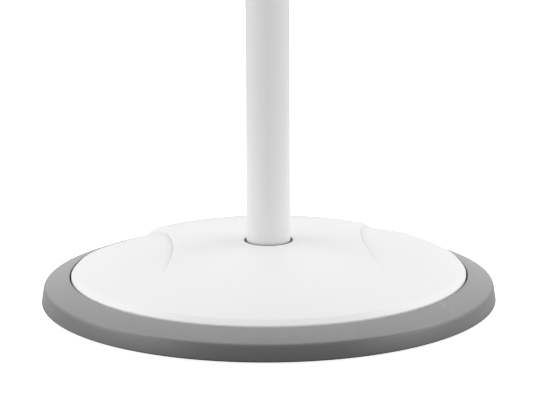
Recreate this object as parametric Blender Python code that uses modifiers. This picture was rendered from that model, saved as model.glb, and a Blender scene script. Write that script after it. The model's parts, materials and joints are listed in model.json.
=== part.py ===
"""Customer pole display: a weighted round foot, a two-stage pole and a tilting display head.

Metres, +Z up, origin on the floor under the pole, front towards -Y.
"""

import math

import bmesh
import bpy
from mathutils import Matrix, Vector

MM = 0.001
FIT = 0.3 * MM  # gap kept between pieces that touch on the real object

# Foot: a low round dome with a soft rim
BASE_RADIUS = 130 * MM
BASE_STEPS = 48
COVER_RADIUS = 112.9 * MM
COVER_EDGE_Z = 19.5 * MM
COVER_TOP_Z = 37.0 * MM
COVER_WALL = 2.0 * MM
COVER_SKIRT_Z = 12.3 * MM
COVER_EDGE_ROUND = 2.4 * MM
DOME_POWER = 3.3  # how late the dome falls away towards its edge
POLE_HOLE_RADIUS = 13.9 * MM
PAD_DEPTH = 2.0 * MM  # step down to the side pads, at the back
PAD_ARC_RADIUS = 2.0 * BASE_RADIUS
PAD_ARC_NEAREST = 53.5 * MM  # closest the pad's edge comes to the middle line
PAD_ARC_Y = 10 * MM
PAD_FADE_FRONT_Y = -82 * MM
PAD_FULL_Y = 40 * MM
PAD_RISER = 1.2 * MM
PAD_REACH = 30 * MM  # how far out the pad has risen back to the dome
RIM_TOP_Z = 17.6 * MM
RIM_GROOVE = 0.8 * MM

PAN_FLOOR_Z = 1.6 * MM
PAN_FLOOR_TOP_Z = 4.2 * MM
PAN_RADIUS = 126.0 * MM
PAN_WALL_TOP_Z = 12.0 * MM
FOOT_RADIUS = 9.0 * MM
FOOT_HEIGHT = 2.5 * MM
FOOT_PCR = 86 * MM
BALLAST_RADIUS = 92 * MM
BALLAST_TOP_Z = 12.5 * MM
PAN_SCREW_PCR = 97 * MM
PAN_BOSS_RADIUS = 3.6 * MM
PAN_SCREW_ANGLES = [math.radians(22.5 + 90 * i) for i in range(4)]
DIAGONALS = [math.radians(45 + 90 * i) for i in range(4)]
SOCKET_SCREW_PCR = 26 * MM
SOCKET_TOP_Z = 31 * MM
SEAL_FLANGE_Z = 34.0 * MM
SEAL_TOP_Z = 36.9 * MM  # the seal's lip fills the gap between the pole and the cover
PORT_Z = 7.6 * MM

# Pole
LOWER_RADIUS = 12.5 * MM
LOWER_BORE = 11.0 * MM
LOWER_FOOT_Z = 15.1 * MM
LOWER_TOP_Z = 262 * MM
UPPER_RADIUS = 10.0 * MM
UPPER_BORE = 8.5 * MM
UPPER_FOOT_Z = 130 * MM
UPPER_TOP_Z = 412 * MM
COLLAR_RADIUS = 17.5 * MM
COLLAR_BOTTOM_Z = 249 * MM
COLLAR_TOP_Z = 282 * MM
COLLAR_GRIPS = 12

# Neck and head
SWIVEL_RADIUS = 17 * MM
SWIVEL_TOP_Z = 424 * MM
NECK_BOTTOM_Z = 425.6 * MM
TILT_AXIS_Z = 452 * MM
HEAD_WIDTH = 220 * MM
HEAD_HEIGHT = 86 * MM
HEAD_BOTTOM_Z = 466 * MM
HEAD_FRONT_Y = -20 * MM
HEAD_SPLIT_Y = -8 * MM
HEAD_BACK_Y = 22 * MM
HEAD_CORNER = 14 * MM
HEAD_WALL = 2.5 * MM
HEAD_MIDDLE_Z = HEAD_BOTTOM_Z + HEAD_HEIGHT / 2
SHELL_SCREW_X = 97 * MM
SHELL_SCREW_DZ = 31 * MM
BUTTON_X = -78 * MM
BUTTON_Z = HEAD_MIDDLE_Z - 14 * MM
SERVICE_X = 56 * MM
LEAD_RADIUS = 2.25 * MM
COIL_RADIUS = 5.0 * MM

MATERIALS = {  # base colour, roughness, metallic
    "cover_white": ((0.86, 0.86, 0.87), 0.35, 0.0),
    "rim_grey": ((0.33, 0.33, 0.33), 0.6, 0.0),
    "pole_white": ((0.80, 0.80, 0.81), 0.3, 0.0),
    "pan_grey": ((0.20, 0.20, 0.21), 0.6, 0.0),
    "cast_iron": ((0.12, 0.12, 0.12), 0.7, 0.8),
    "zinc_steel": ((0.62, 0.62, 0.64), 0.35, 1.0),
    "black_rubber": ((0.03, 0.03, 0.03), 0.8, 0.0),
    "black_plastic": ((0.04, 0.04, 0.045), 0.5, 0.0),
    "board_green": ((0.03, 0.16, 0.07), 0.5, 0.0),
    "smoked_window": ((0.02, 0.022, 0.025), 0.08, 0.0),
    "display_glass": ((0.05, 0.07, 0.07), 0.1, 0.0),
    "lead_grey": ((0.16, 0.16, 0.17), 0.55, 0.0),
}


def clear_scene():
    for obj in list(bpy.data.objects):
        bpy.data.objects.remove(obj)


def make_collection(name, parent):
    made = bpy.data.collections.new(name)
    parent.children.link(made)
    return made


def material(name):
    found = bpy.data.materials.get(name)
    if found:
        return found
    colour, roughness, metallic = MATERIALS[name]
    made = bpy.data.materials.new(name)
    made.use_nodes = True
    shader = made.node_tree.nodes["Principled BSDF"]
    shader.inputs["Base Color"].default_value = (*colour, 1)
    shader.inputs["Roughness"].default_value = roughness
    shader.inputs["Metallic"].default_value = metallic
    return made


def add_object(name, data, finish):
    """Links a mesh or curve as a piece, or as a hidden cutter where finish is None."""
    obj = bpy.data.objects.new(name, data)
    if finish is None:
        cutters.objects.link(obj)
        obj.hide_render = True
        obj.display_type = "WIRE"
    else:
        pieces.objects.link(obj)
        data.materials.append(material(finish))
    return obj


def mesh_from(bm, name):
    bmesh.ops.recalc_face_normals(bm, faces=bm.faces)
    mesh = bpy.data.meshes.new(name)
    bm.to_mesh(mesh)
    bm.free()
    return mesh


def smooth(obj, angle=35):
    obj.data.shade_smooth()
    obj.data.set_sharp_from_angle(angle=math.radians(angle))


def turned(name, profile, finish, steps=32, closed=True):
    """(radius, z) points swept round Z. An open profile starts and ends on the axis."""
    turn = sum(r0 * z1 - r1 * z0 for (r0, z0), (r1, z1) in zip(profile, profile[1:] + profile[:1]))
    if turn > 0:  # the outer side has to run downwards
        profile = list(reversed(profile))
    mesh = bpy.data.meshes.new(name)
    edges = [(i, i + 1) for i in range(len(profile) - 1)]
    if closed:
        edges.append((len(profile) - 1, 0))
    mesh.from_pydata([(r, 0, z) for r, z in profile], edges, [])
    obj = add_object(name, mesh, finish)
    screw = obj.modifiers.new("Turn", "SCREW")
    screw.steps = screw.render_steps = steps
    screw.use_merge_vertices = True
    screw.merge_threshold = 0.001 * MM
    return obj


def tube(name, outer, inner, low, high, finish, steps=32):
    return turned(name, [(outer, high), (outer, low), (inner, low), (inner, high)], finish, steps)


def cylinder(name, radius, low, high, centre=(0, 0), axis="Z", finish=None, steps=12):
    """A cylinder along X, Y or Z from low to high; centre is its place on the other two axes."""
    bm = bmesh.new()
    bmesh.ops.create_cone(
        bm, cap_ends=True, segments=steps, radius1=radius, radius2=radius, depth=high - low
    )
    middle = (low + high) / 2
    if axis == "X":
        turn = Matrix.Rotation(math.pi / 2, 4, "Y")
        place = (middle, centre[0], centre[1])
    elif axis == "Y":
        turn = Matrix.Rotation(math.pi / 2, 4, "X")
        place = (centre[0], middle, centre[1])
    else:
        turn = Matrix.Identity(4)
        place = (centre[0], centre[1], middle)
    bmesh.ops.transform(bm, matrix=turn, verts=bm.verts)
    obj = add_object(name, mesh_from(bm, name), finish)
    obj.location = place
    if finish:
        smooth(obj)
    return obj


def block(name, low, high, finish=None, corner=0):
    """A box between two corners. corner rounds the four edges that run along Y."""
    size = Vector(high) - Vector(low)
    bm = bmesh.new()
    bmesh.ops.create_cube(bm, size=1)
    bmesh.ops.scale(bm, vec=size, verts=bm.verts)
    if corner:
        long_edges = [
            e for e in bm.edges if abs(e.verts[0].co.y - e.verts[1].co.y) > 0.5 * size.y
        ]
        bmesh.ops.bevel(
            bm, geom=long_edges, offset=corner, segments=4, profile=0.5,
            affect="EDGES", material=-1,
        )
    obj = add_object(name, mesh_from(bm, name), finish)
    obj.location = (Vector(low) + Vector(high)) / 2
    return obj


def boolean(target, other, operation="DIFFERENCE"):
    cut = target.modifiers.new(other.name, "BOOLEAN")
    cut.operation = operation
    cut.solver = "EXACT"
    cut.object = other
    return target


def lug(name, inner, outer, radius, end_z):
    """A flat ear across X: round about the tilt axis and straight from there to end_z."""
    bm = bmesh.new()
    bmesh.ops.create_cone(
        bm, cap_ends=True, segments=24, radius1=radius, radius2=radius, depth=outer - inner
    )
    bmesh.ops.rotate(bm, matrix=Matrix.Rotation(math.pi / 2, 3, "Y"), verts=bm.verts)
    bmesh.ops.translate(bm, vec=((inner + outer) / 2, 0, TILT_AXIS_Z), verts=bm.verts)
    away = 1 if end_z > TILT_AXIS_Z else -1
    bmesh.ops.bisect_plane(
        bm, geom=bm.verts[:] + bm.edges[:] + bm.faces[:], dist=0.001 * MM,
        plane_co=(0, 0, TILT_AXIS_Z), plane_no=(0, 0, away), clear_outer=True,
    )
    rim = [e for e in bm.edges if e.is_boundary]
    pulled = bmesh.ops.extrude_edge_only(bm, edges=rim)["geom"]
    for vert in (v for v in pulled if isinstance(v, bmesh.types.BMVert)):
        vert.co.z = end_z
    bmesh.ops.holes_fill(bm, edges=[e for e in bm.edges if e.is_boundary])
    return add_object(name, mesh_from(bm, name), None)


def round_profile(centre, radius, start, end, steps=4):
    """Points on an arc in the (radius, z) plane, angles in degrees."""
    found = []
    for i in range(steps + 1):
        angle = math.radians(start + (end - start) * i / steps)
        found.append((centre[0] + radius * math.cos(angle), centre[1] + radius * math.sin(angle)))
    return found


def polar(radius, angle):
    return radius * math.cos(angle), radius * math.sin(angle)


# Foot

def smooth_step(low, high, value):
    share = min(max((value - low) / (high - low), 0), 1)
    return share * share * (3 - 2 * share)


def dome_z(radius):
    share = min(radius / COVER_RADIUS, 1)
    return COVER_EDGE_Z + (COVER_TOP_Z - COVER_EDGE_Z) * (1 - share**DOME_POWER)


def pad_edge_radius(angle):
    """Distance from the pole's axis to the pad's edge, an arc that bulges towards the middle."""
    across, forward = abs(math.cos(angle)), math.sin(angle)
    centre_x = PAD_ARC_NEAREST + PAD_ARC_RADIUS
    along = across * centre_x + forward * PAD_ARC_Y
    rest = along**2 - (centre_x**2 + PAD_ARC_Y**2 - PAD_ARC_RADIUS**2)
    limit = 0.93 * COVER_RADIUS
    if along <= 0 or rest <= 0:
        return limit
    return min(along - math.sqrt(rest), limit)


def pad_drop(x, y):
    """How far the pad lies under the dome: deepest at its step behind, and fading outwards."""
    centre_x = PAD_ARC_NEAREST + PAD_ARC_RADIUS
    outside = PAD_ARC_RADIUS - math.hypot(abs(x) - centre_x, y - PAD_ARC_Y)
    depth = PAD_DEPTH * smooth_step(PAD_FADE_FRONT_Y, PAD_FULL_Y, y)
    rise = 1 - smooth_step(PAD_RISER, PAD_REACH, outside)
    return depth * smooth_step(0, PAD_RISER, outside) * rise


def make_top_cover():
    """The dome starts as a plain turned skin. Its rings are then bent along the pads' edges,
    so that the step stays crisp, and the pads are let down."""
    edge_start = COVER_RADIUS - COVER_EDGE_ROUND
    crest, foot = 60 * MM, 60 * MM + PAD_RISER
    radii = [POLE_HOLE_RADIUS + (crest - POLE_HOLE_RADIUS) * i / 3 for i in range(4)]
    radii += [foot + (edge_start - foot) * i / 3 for i in range(4)]
    edge_drop = dome_z(edge_start) - COVER_EDGE_ROUND
    arc = round_profile((edge_start, edge_drop), COVER_EDGE_ROUND, 60, 0, steps=3)
    bm = bmesh.new()
    verts = [bm.verts.new((r, 0, dome_z(r))) for r in radii]
    verts += [bm.verts.new((r, 0, z)) for r, z in arc + [(COVER_RADIUS, COVER_SKIRT_Z)]]
    edges = [bm.edges.new(pair) for pair in zip(verts, verts[1:])]
    bmesh.ops.spin(
        bm, geom=verts + edges, cent=(0, 0, 0), axis=(0, 0, 1),
        angle=2 * math.pi, steps=BASE_STEPS, use_merge=True,
    )
    for vert in bm.verts:
        radius = vert.co.xy.length
        angle = math.atan2(vert.co.y, vert.co.x)
        bent_crest = pad_edge_radius(angle)
        bent_foot = min(bent_crest + PAD_RISER, edge_start - 2 * MM)
        if radius < crest + 0.1 * MM:
            share = (radius - POLE_HOLE_RADIUS) / (crest - POLE_HOLE_RADIUS)
            radius = POLE_HOLE_RADIUS + share * (bent_crest - POLE_HOLE_RADIUS)
        elif radius < edge_start:
            share = (radius - foot) / (edge_start - foot)
            radius = bent_foot + share * (edge_start - bent_foot)
        vert.co.x, vert.co.y = polar(radius, angle)
        if radius <= edge_start:
            vert.co.z = dome_z(radius)
        if vert.co.z > COVER_SKIRT_Z + 0.1 * MM:
            vert.co.z -= pad_drop(vert.co.x, vert.co.y)
    mesh = mesh_from(bm, "top_cover")
    cover = add_object("top_cover", mesh, "cover_white")
    smooth(cover)
    if sum(face.normal.z for face in mesh.polygons) < 0:
        mesh.flip_normals()
    wall = cover.modifiers.new("Wall", "SOLIDIFY")
    wall.thickness = COVER_WALL
    wall.offset = -1
    for number, angle in enumerate(PAN_SCREW_ANGLES):
        centre = polar(PAN_SCREW_PCR, angle)
        boss_top = dome_z(PAN_SCREW_PCR + PAN_BOSS_RADIUS) - pad_drop(*centre) - 0.6 * MM
        boolean(cover, cylinder(
            f"cut_boss_{number}", PAN_BOSS_RADIUS, 4.6 * MM, boss_top, centre, steps=12), "UNION")
        boolean(cover, cylinder(
            f"cut_boss_hole_{number}", 1.8 * MM, 3 * MM, 15 * MM, centre, steps=12))


def make_rim_ring():
    """Soft edging: an upside-down channel that sits on the pan and hugs the dome's edge."""
    inner = COVER_RADIUS + RIM_GROOVE
    slope_end = (126.0 * MM, 12.5 * MM)
    profile = [(inner, 6.0 * MM), (inner, RIM_TOP_Z - 0.6 * MM), (inner + 0.6 * MM, RIM_TOP_Z)]
    profile += [slope_end, (127.9 * MM, 11.3 * MM), (128.9 * MM, 9.5 * MM)]
    profile += [(BASE_RADIUS, 4.2 * MM), (129.6 * MM, 2.4 * MM), (128.0 * MM, 1.0 * MM)]
    profile += [(126.4 * MM, 1.0 * MM), (126.4 * MM, 8.0 * MM), (124.6 * MM, 9.8 * MM)]
    profile += [(116.3 * MM, 13.4 * MM), (115.8 * MM, 4.5 * MM), (113.0 * MM, 4.5 * MM)]
    profile += [(113.0 * MM, 6.0 * MM)]
    rim = turned("rim_ring", profile, "rim_grey", steps=BASE_STEPS)
    window = block(
        "cut_port_window", (-4.85 * MM, 120 * MM, PORT_Z - 1.95 * MM),
        (4.85 * MM, 134 * MM, PORT_Z + 1.95 * MM), corner=1.9 * MM,
    )
    boolean(rim, window)
    boolean(rim, lead_notch)


def make_pan():
    profile = [(0, PAN_FLOOR_TOP_Z), (109.6 * MM, PAN_FLOOR_TOP_Z)]
    profile += [(109.6 * MM, PAN_WALL_TOP_Z), (112.6 * MM, PAN_WALL_TOP_Z)]
    profile += [(112.6 * MM, PAN_FLOOR_TOP_Z), (PAN_RADIUS, PAN_FLOOR_TOP_Z)]
    profile += [(PAN_RADIUS, PAN_FLOOR_Z), (0, PAN_FLOOR_Z)]
    pan = turned("base_pan", profile, "pan_grey", steps=BASE_STEPS, closed=False)
    for number, angle in enumerate(DIAGONALS):
        centre = polar(FOOT_PCR, angle)
        pocket = cylinder(
            f"cut_foot_pocket_{number}", FOOT_RADIUS + FIT, 0, FOOT_HEIGHT + FIT, centre
        )
        boolean(pan, pocket)
    for number, angle in enumerate(PAN_SCREW_ANGLES):
        centre = polar(PAN_SCREW_PCR, angle)
        through = cylinder(f"cut_pan_hole_{number}", 1.9 * MM, 0, 6 * MM, centre, steps=12)
        sink = cylinder(f"cut_pan_sink_{number}", 3.5 * MM, 0, 3.0 * MM, centre, steps=16)
        boolean(pan, through)
        boolean(pan, sink)
    boolean(pan, lead_notch)


def make_feet():
    for number, angle in enumerate(DIAGONALS, 1):
        foot = cylinder(
            f"rubber_foot_{number}", FOOT_RADIUS, 0, FOOT_HEIGHT, polar(FOOT_PCR, angle),
            finish="black_rubber", steps=16,
        )
        bevel = foot.modifiers.new("Edges", "BEVEL")
        bevel.width = 0.6 * MM
        bevel.segments = 1


def make_pan_screws():
    for number, angle in enumerate(PAN_SCREW_ANGLES, 1):
        profile = [(0, 13 * MM), (1.4 * MM, 13 * MM), (1.4 * MM, 2.7 * MM), (3.1 * MM, 2.7 * MM)]
        profile += [(3.1 * MM, 1.7 * MM), (2.4 * MM, 1.3 * MM), (0, 1.3 * MM)]
        screw = turned(f"pan_screw_{number}", profile, "zinc_steel", steps=10, closed=False)
        screw.location.xy = polar(PAN_SCREW_PCR, angle)


def make_ballast():
    ballast = tube(
        "ballast_plate", BALLAST_RADIUS, 20 * MM, PAN_FLOOR_TOP_Z + FIT, BALLAST_TOP_Z,
        "cast_iron", steps=BASE_STEPS,
    )
    groove = block(
        "cut_lead_groove", (-4 * MM, 10 * MM, 2 * MM), (4 * MM, 104 * MM, 10 * MM)
    )
    boolean(ballast, groove)
    for number, angle in enumerate(DIAGONALS):
        tapped = cylinder(
            f"cut_ballast_hole_{number}", 2.7 * MM, 5.0 * MM, 14 * MM,
            polar(SOCKET_SCREW_PCR, angle), steps=12,
        )
        boolean(ballast, tapped)


def make_pole_socket():
    """Flanged steel sleeve that is screwed to the ballast and holds the pole upright."""
    low = BALLAST_TOP_Z + FIT
    bore = LOWER_RADIUS + FIT
    profile = [(10 * MM, low), (10 * MM, LOWER_FOOT_Z - FIT), (bore, LOWER_FOOT_Z - FIT)]
    profile += [(bore, SOCKET_TOP_Z), (17.5 * MM, SOCKET_TOP_Z), (17.5 * MM, 18.6 * MM)]
    profile += [(18.4 * MM, 17.8 * MM), (33 * MM, 17.8 * MM), (33 * MM, low)]
    socket = turned("pole_socket", profile, "zinc_steel", steps=32)
    for number, angle in enumerate(DIAGONALS, 1):
        centre = polar(SOCKET_SCREW_PCR, angle)
        hole = cylinder(f"cut_socket_hole_{number}", 2.8 * MM, 10 * MM, 20 * MM, centre, steps=12)
        boolean(socket, hole)
        shank_end, shoulder, head_top = 6 * MM, 17.8 * MM + FIT, 22 * MM
        profile = [(0, head_top), (3.7 * MM, head_top), (4.2 * MM, head_top - 0.5 * MM)]
        profile += [(4.2 * MM, shoulder), (2.4 * MM, shoulder), (2.4 * MM, shank_end)]
        profile += [(0, shank_end)]
        screw = turned(f"socket_screw_{number}", profile, "zinc_steel", steps=10, closed=False)
        screw.location.xy = centre
    tapped = cylinder("cut_set_hole", 2.7 * MM, 11 * MM, 19 * MM, (0, 25 * MM), "X", steps=12)
    boolean(socket, tapped)
    cylinder(
        "set_screw", 2.4 * MM, LOWER_RADIUS + FIT, 17.2 * MM, (0, 25 * MM), "X", "zinc_steel", 12
    )


def make_port():
    """The lead's socket, on its small board inside the rim at the back."""
    board_top = PORT_Z - 1.65 * MM - FIT
    block(
        "interface_board", (-12 * MM, 116.4 * MM, PAN_FLOOR_TOP_Z + FIT),
        (12 * MM, 125.2 * MM, board_top - FIT), "board_green",
    )
    low = (-4.5 * MM, 120.5 * MM, PORT_Z - 1.65 * MM)
    high = (4.5 * MM, 129.2 * MM, PORT_Z + 1.65 * MM)
    port = block("port_socket", low, high, "zinc_steel", corner=1.6 * MM)
    inside = block(
        "cut_port_inside", (-4.2 * MM, 121.4 * MM, PORT_Z - 1.35 * MM),
        (4.2 * MM, 131 * MM, PORT_Z + 1.35 * MM), corner=1.3 * MM,
    )
    tongue = block(
        "cut_port_tongue", (-3.3 * MM, 121 * MM, PORT_Z - 0.35 * MM),
        (3.3 * MM, 128.4 * MM, PORT_Z + 0.35 * MM),
    )
    boolean(port, inside)
    boolean(port, tongue, "UNION")


# Pole

def make_lower_pole():
    tube("lower_pole", LOWER_RADIUS, LOWER_BORE, LOWER_FOOT_Z, LOWER_TOP_Z, "pole_white", 32)
    bore = LOWER_RADIUS + FIT
    lip_radius = POLE_HOLE_RADIUS - FIT
    profile = [(lip_radius, SEAL_TOP_Z), (lip_radius, SEAL_FLANGE_Z), (17 * MM, SEAL_FLANGE_Z)]
    profile += [(17 * MM, SOCKET_TOP_Z + FIT), (bore, SOCKET_TOP_Z + FIT), (bore, SEAL_TOP_Z)]
    turned("pole_seal", profile, "black_rubber", steps=32)
    lip = LOWER_TOP_Z + FIT
    profile = [(bore, 234 * MM), (bore, lip), (UPPER_RADIUS + 0.35 * MM, lip)]
    profile += [(11.0 * MM, lip + 1.3 * MM), (13.4 * MM, 268.5 * MM)]
    profile += [(14.6 * MM, 268.5 * MM), (14.6 * MM, 248.4 * MM), (16.6 * MM, 248.4 * MM)]
    profile += [(16.6 * MM, 236 * MM), (15.4 * MM, 234 * MM)]
    turned("lock_sleeve", profile, "cover_white", steps=32)


def make_collet():
    inner = UPPER_RADIUS + FIT
    profile = [(inner, 264.6 * MM), (inner, 276.4 * MM), (11.9 * MM, 276.4 * MM)]
    profile += [(12.2 * MM, 269 * MM), (10.9 * MM, 264.6 * MM)]
    collet = turned("collet", profile, "black_plastic", steps=32)
    slit = block("cut_collet_slit", (-0.8 * MM, 9 * MM, 262 * MM), (0.8 * MM, 14 * MM, 280 * MM))
    boolean(collet, slit)


def make_twist_collar():
    """Clamping collar: its turned body has finger grooves pressed in round the outside."""
    profile = [(15.0 * MM, COLLAR_BOTTOM_Z), (15.0 * MM, 269.2 * MM), (12.7 * MM, 269.2 * MM)]
    profile += [(12.4 * MM, 277 * MM), (10.6 * MM, 277 * MM), (10.6 * MM, COLLAR_TOP_Z)]
    profile += [(15.5 * MM, COLLAR_TOP_Z), (COLLAR_RADIUS, COLLAR_TOP_Z - 2 * MM)]
    groove_top, groove_bottom = COLLAR_TOP_Z - 5 * MM, COLLAR_BOTTOM_Z + 4 * MM
    profile += [(COLLAR_RADIUS, groove_top + 1.5 * MM), (COLLAR_RADIUS, groove_top)]
    profile += [(COLLAR_RADIUS, groove_bottom), (COLLAR_RADIUS, groove_bottom - 1.5 * MM)]
    profile += [(COLLAR_RADIUS, COLLAR_BOTTOM_Z + 1 * MM), (16.5 * MM, COLLAR_BOTTOM_Z)]
    bm = bmesh.new()
    verts = [bm.verts.new((r, 0, z)) for r, z in profile]
    edges = [bm.edges.new(pair) for pair in zip(verts, verts[1:] + verts[:1])]
    bmesh.ops.spin(
        bm, geom=verts + edges, cent=(0, 0, 0), axis=(0, 0, 1),
        angle=2 * math.pi, steps=COLLAR_GRIPS * 4, use_merge=True,
    )
    for vert in bm.verts:
        radius = math.hypot(vert.co.x, vert.co.y)
        if abs(radius - COLLAR_RADIUS) > 0.01 * MM:
            continue
        if not groove_bottom - 0.1 * MM < vert.co.z < groove_top + 0.1 * MM:
            continue
        turn = math.atan2(vert.co.y, vert.co.x) * COLLAR_GRIPS
        squeeze = 1 - 0.9 * MM * max(math.cos(turn), 0) / radius
        vert.co.x *= squeeze
        vert.co.y *= squeeze
    collar = add_object("twist_collar", mesh_from(bm, "twist_collar"), "rim_grey")
    smooth(collar, 30)


def make_upper_pole():
    tube("upper_pole", UPPER_RADIUS, UPPER_BORE, UPPER_FOOT_Z, UPPER_TOP_Z, "pole_white", 24)
    profile = [(6.5 * MM, 126 * MM), (6.5 * MM, 141 * MM), (8.2 * MM, 141 * MM)]
    profile += [(8.2 * MM, UPPER_FOOT_Z - FIT), (10.7 * MM, UPPER_FOOT_Z - FIT)]
    profile += [(10.7 * MM, 126 * MM)]
    turned("guide_plug", profile, "black_plastic", steps=32)
    flange = UPPER_TOP_Z + FIT
    profile = [(5.8 * MM, 396 * MM), (5.8 * MM, SWIVEL_TOP_Z), (15.5 * MM, SWIVEL_TOP_Z)]
    profile += [(SWIVEL_RADIUS, SWIVEL_TOP_Z - 1.2 * MM), (SWIVEL_RADIUS, 418 * MM)]
    profile += [(13 * MM, flange), (8.2 * MM, flange), (8.2 * MM, 396 * MM)]
    turned("swivel_base", profile, "cover_white", steps=32)


# Neck

def make_neck():
    spindle = cylinder("cut_neck_spindle", 5.5 * MM, 391 * MM, NECK_BOTTOM_Z + 3 * MM, steps=32)
    profile = [(0, 433 * MM), (15.8 * MM, 433 * MM), (SWIVEL_RADIUS, 431.8 * MM)]
    profile += [(SWIVEL_RADIUS, NECK_BOTTOM_Z), (0, NECK_BOTTOM_Z)]
    neck = turned("swivel_neck", profile, "cover_white", steps=32, closed=False)
    boolean(neck, spindle, "UNION")
    for side in (-1, 1):
        label = "left" if side < 0 else "right"
        inner, outer = sorted((side * 11.5 * MM, side * 16.5 * MM))
        ear = lug(f"cut_ear_{label}", inner, outer, 8 * MM, 428 * MM)
        hole = cylinder(
            f"cut_ear_hole_{label}", 2.7 * MM, inner - 1 * MM, outer + 1 * MM,
            (0, TILT_AXIS_Z), "X", steps=16,
        )
        boolean(neck, ear, "UNION")
        boolean(neck, hole)
    boolean(neck, cylinder("cut_neck_bore", 3.2 * MM, 385 * MM, 440 * MM, steps=24))
    tube("friction_washer", 16 * MM, 6.2 * MM, 424.3 * MM, 425.3 * MM, "black_plastic", 32)
    clip = tube("swivel_clip", 7.8 * MM, 5.7 * MM, 393.5 * MM, 394.9 * MM, "zinc_steel", 24)
    mouth = block("cut_clip_mouth", (-2.4 * MM, 0, 390 * MM), (2.4 * MM, 10 * MM, 398 * MM))
    boolean(clip, mouth)


def make_tilt_hardware():
    for side in (-1, 1):
        label = "left" if side < 0 else "right"
        turn = Matrix.Rotation(side * math.pi / 2, 4, "Y")
        place = Matrix.Translation((0, 0, TILT_AXIS_Z)) @ turn
        pin_profile = [(0, 19.6 * MM), (3.9 * MM, 19.6 * MM), (4.6 * MM, 18.9 * MM)]
        pin_profile += [(4.6 * MM, 16.8 * MM), (2.4 * MM, 16.8 * MM), (2.4 * MM, 6.4 * MM)]
        pin_profile += [(0, 6.4 * MM)]
        pin = turned(f"tilt_pin_{label}", pin_profile, "zinc_steel", steps=16, closed=False)
        recess = cylinder(f"cut_pin_hex_{label}", 1.8 * MM, 18 * MM, 21 * MM, steps=6)
        boolean(pin, recess)
        recess.matrix_world = place @ Matrix.Translation((0, 0, 19.5 * MM))
        washer = tube(
            f"tilt_washer_{label}", 6.5 * MM, 2.8 * MM, 10.5 * MM, 11.2 * MM, "black_plastic", 20
        )
        for piece in (pin, washer):
            piece.matrix_world = place


# Head

def make_tilt_bracket():
    """Two cheeks under a plate; the plate is screwed down inside the head's floor."""
    bracket = block(
        "tilt_bracket", (-24 * MM, -9 * MM, 468.8 * MM), (24 * MM, 9 * MM, 471.3 * MM), "zinc_steel"
    )
    for side in (-1, 1):
        label = "left" if side < 0 else "right"
        inner, outer = sorted((side * 6.2 * MM, side * 10.2 * MM))
        cheek = lug(f"cut_cheek_{label}", inner, outer, 7 * MM, 470 * MM)
        hole = cylinder(
            f"cut_cheek_hole_{label}", 2.7 * MM, inner - 1 * MM, outer + 1 * MM,
            (0, TILT_AXIS_Z), "X", steps=16,
        )
        screw_hole = cylinder(
            f"cut_bracket_hole_{label}", 1.7 * MM, 466 * MM, 474 * MM, (side * 18 * MM, 0),
            steps=12,
        )
        boolean(bracket, cheek, "UNION")
        boolean(bracket, hole)
        boolean(bracket, screw_hole)
        profile = [(0, 473.8 * MM), (2.2 * MM, 473.8 * MM), (2.8 * MM, 473.2 * MM)]
        profile += [(2.8 * MM, 471.6 * MM), (1.4 * MM, 471.6 * MM), (1.4 * MM, 466.4 * MM)]
        profile += [(0, 466.4 * MM)]
        screw = turned(f"bracket_screw_{label}", profile, "zinc_steel", steps=10, closed=False)
        screw.location.x = side * 18 * MM
    boolean(bracket, cylinder("cut_bracket_lead", 4 * MM, 466 * MM, 474 * MM, steps=20))


def head_half(name, closed_y, open_y, edge_width, finish):
    """Half of the head's casing: a rounded tray that is open towards the other half."""
    depth = abs(open_y - closed_y)
    bm = bmesh.new()
    bmesh.ops.create_cube(bm, size=1)
    bmesh.ops.scale(bm, vec=(HEAD_WIDTH, depth, HEAD_HEIGHT), verts=bm.verts)
    middle = ((closed_y + open_y) / 2, HEAD_MIDDLE_Z)
    bmesh.ops.translate(bm, vec=(0, *middle), verts=bm.verts)
    corners = [e for e in bm.edges if abs(e.verts[0].co.y - e.verts[1].co.y) > depth / 2]
    bmesh.ops.bevel(
        bm, geom=corners, offset=HEAD_CORNER, segments=4, profile=0.5,
        affect="EDGES", material=-1,
    )
    rim = [e for e in bm.edges if all(abs(v.co.y - closed_y) < 0.01 * MM for v in e.verts)]
    bmesh.ops.bevel(
        bm, geom=rim, offset=edge_width, segments=2, profile=0.5, affect="EDGES", material=-1
    )
    mouth = [f for f in bm.faces if all(abs(v.co.y - open_y) < 0.01 * MM for v in f.verts)]
    bmesh.ops.delete(bm, geom=mouth, context="FACES_ONLY")
    half = add_object(name, mesh_from(bm, name), finish)
    smooth(half)
    wall = half.modifiers.new("Wall", "SOLIDIFY")
    wall.thickness = HEAD_WALL
    wall.offset = -1
    return half


def screw_places():
    return [
        (x, HEAD_MIDDLE_Z + dz)
        for x in (-SHELL_SCREW_X, SHELL_SCREW_X) for dz in (-SHELL_SCREW_DZ, SHELL_SCREW_DZ)
    ]


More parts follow.
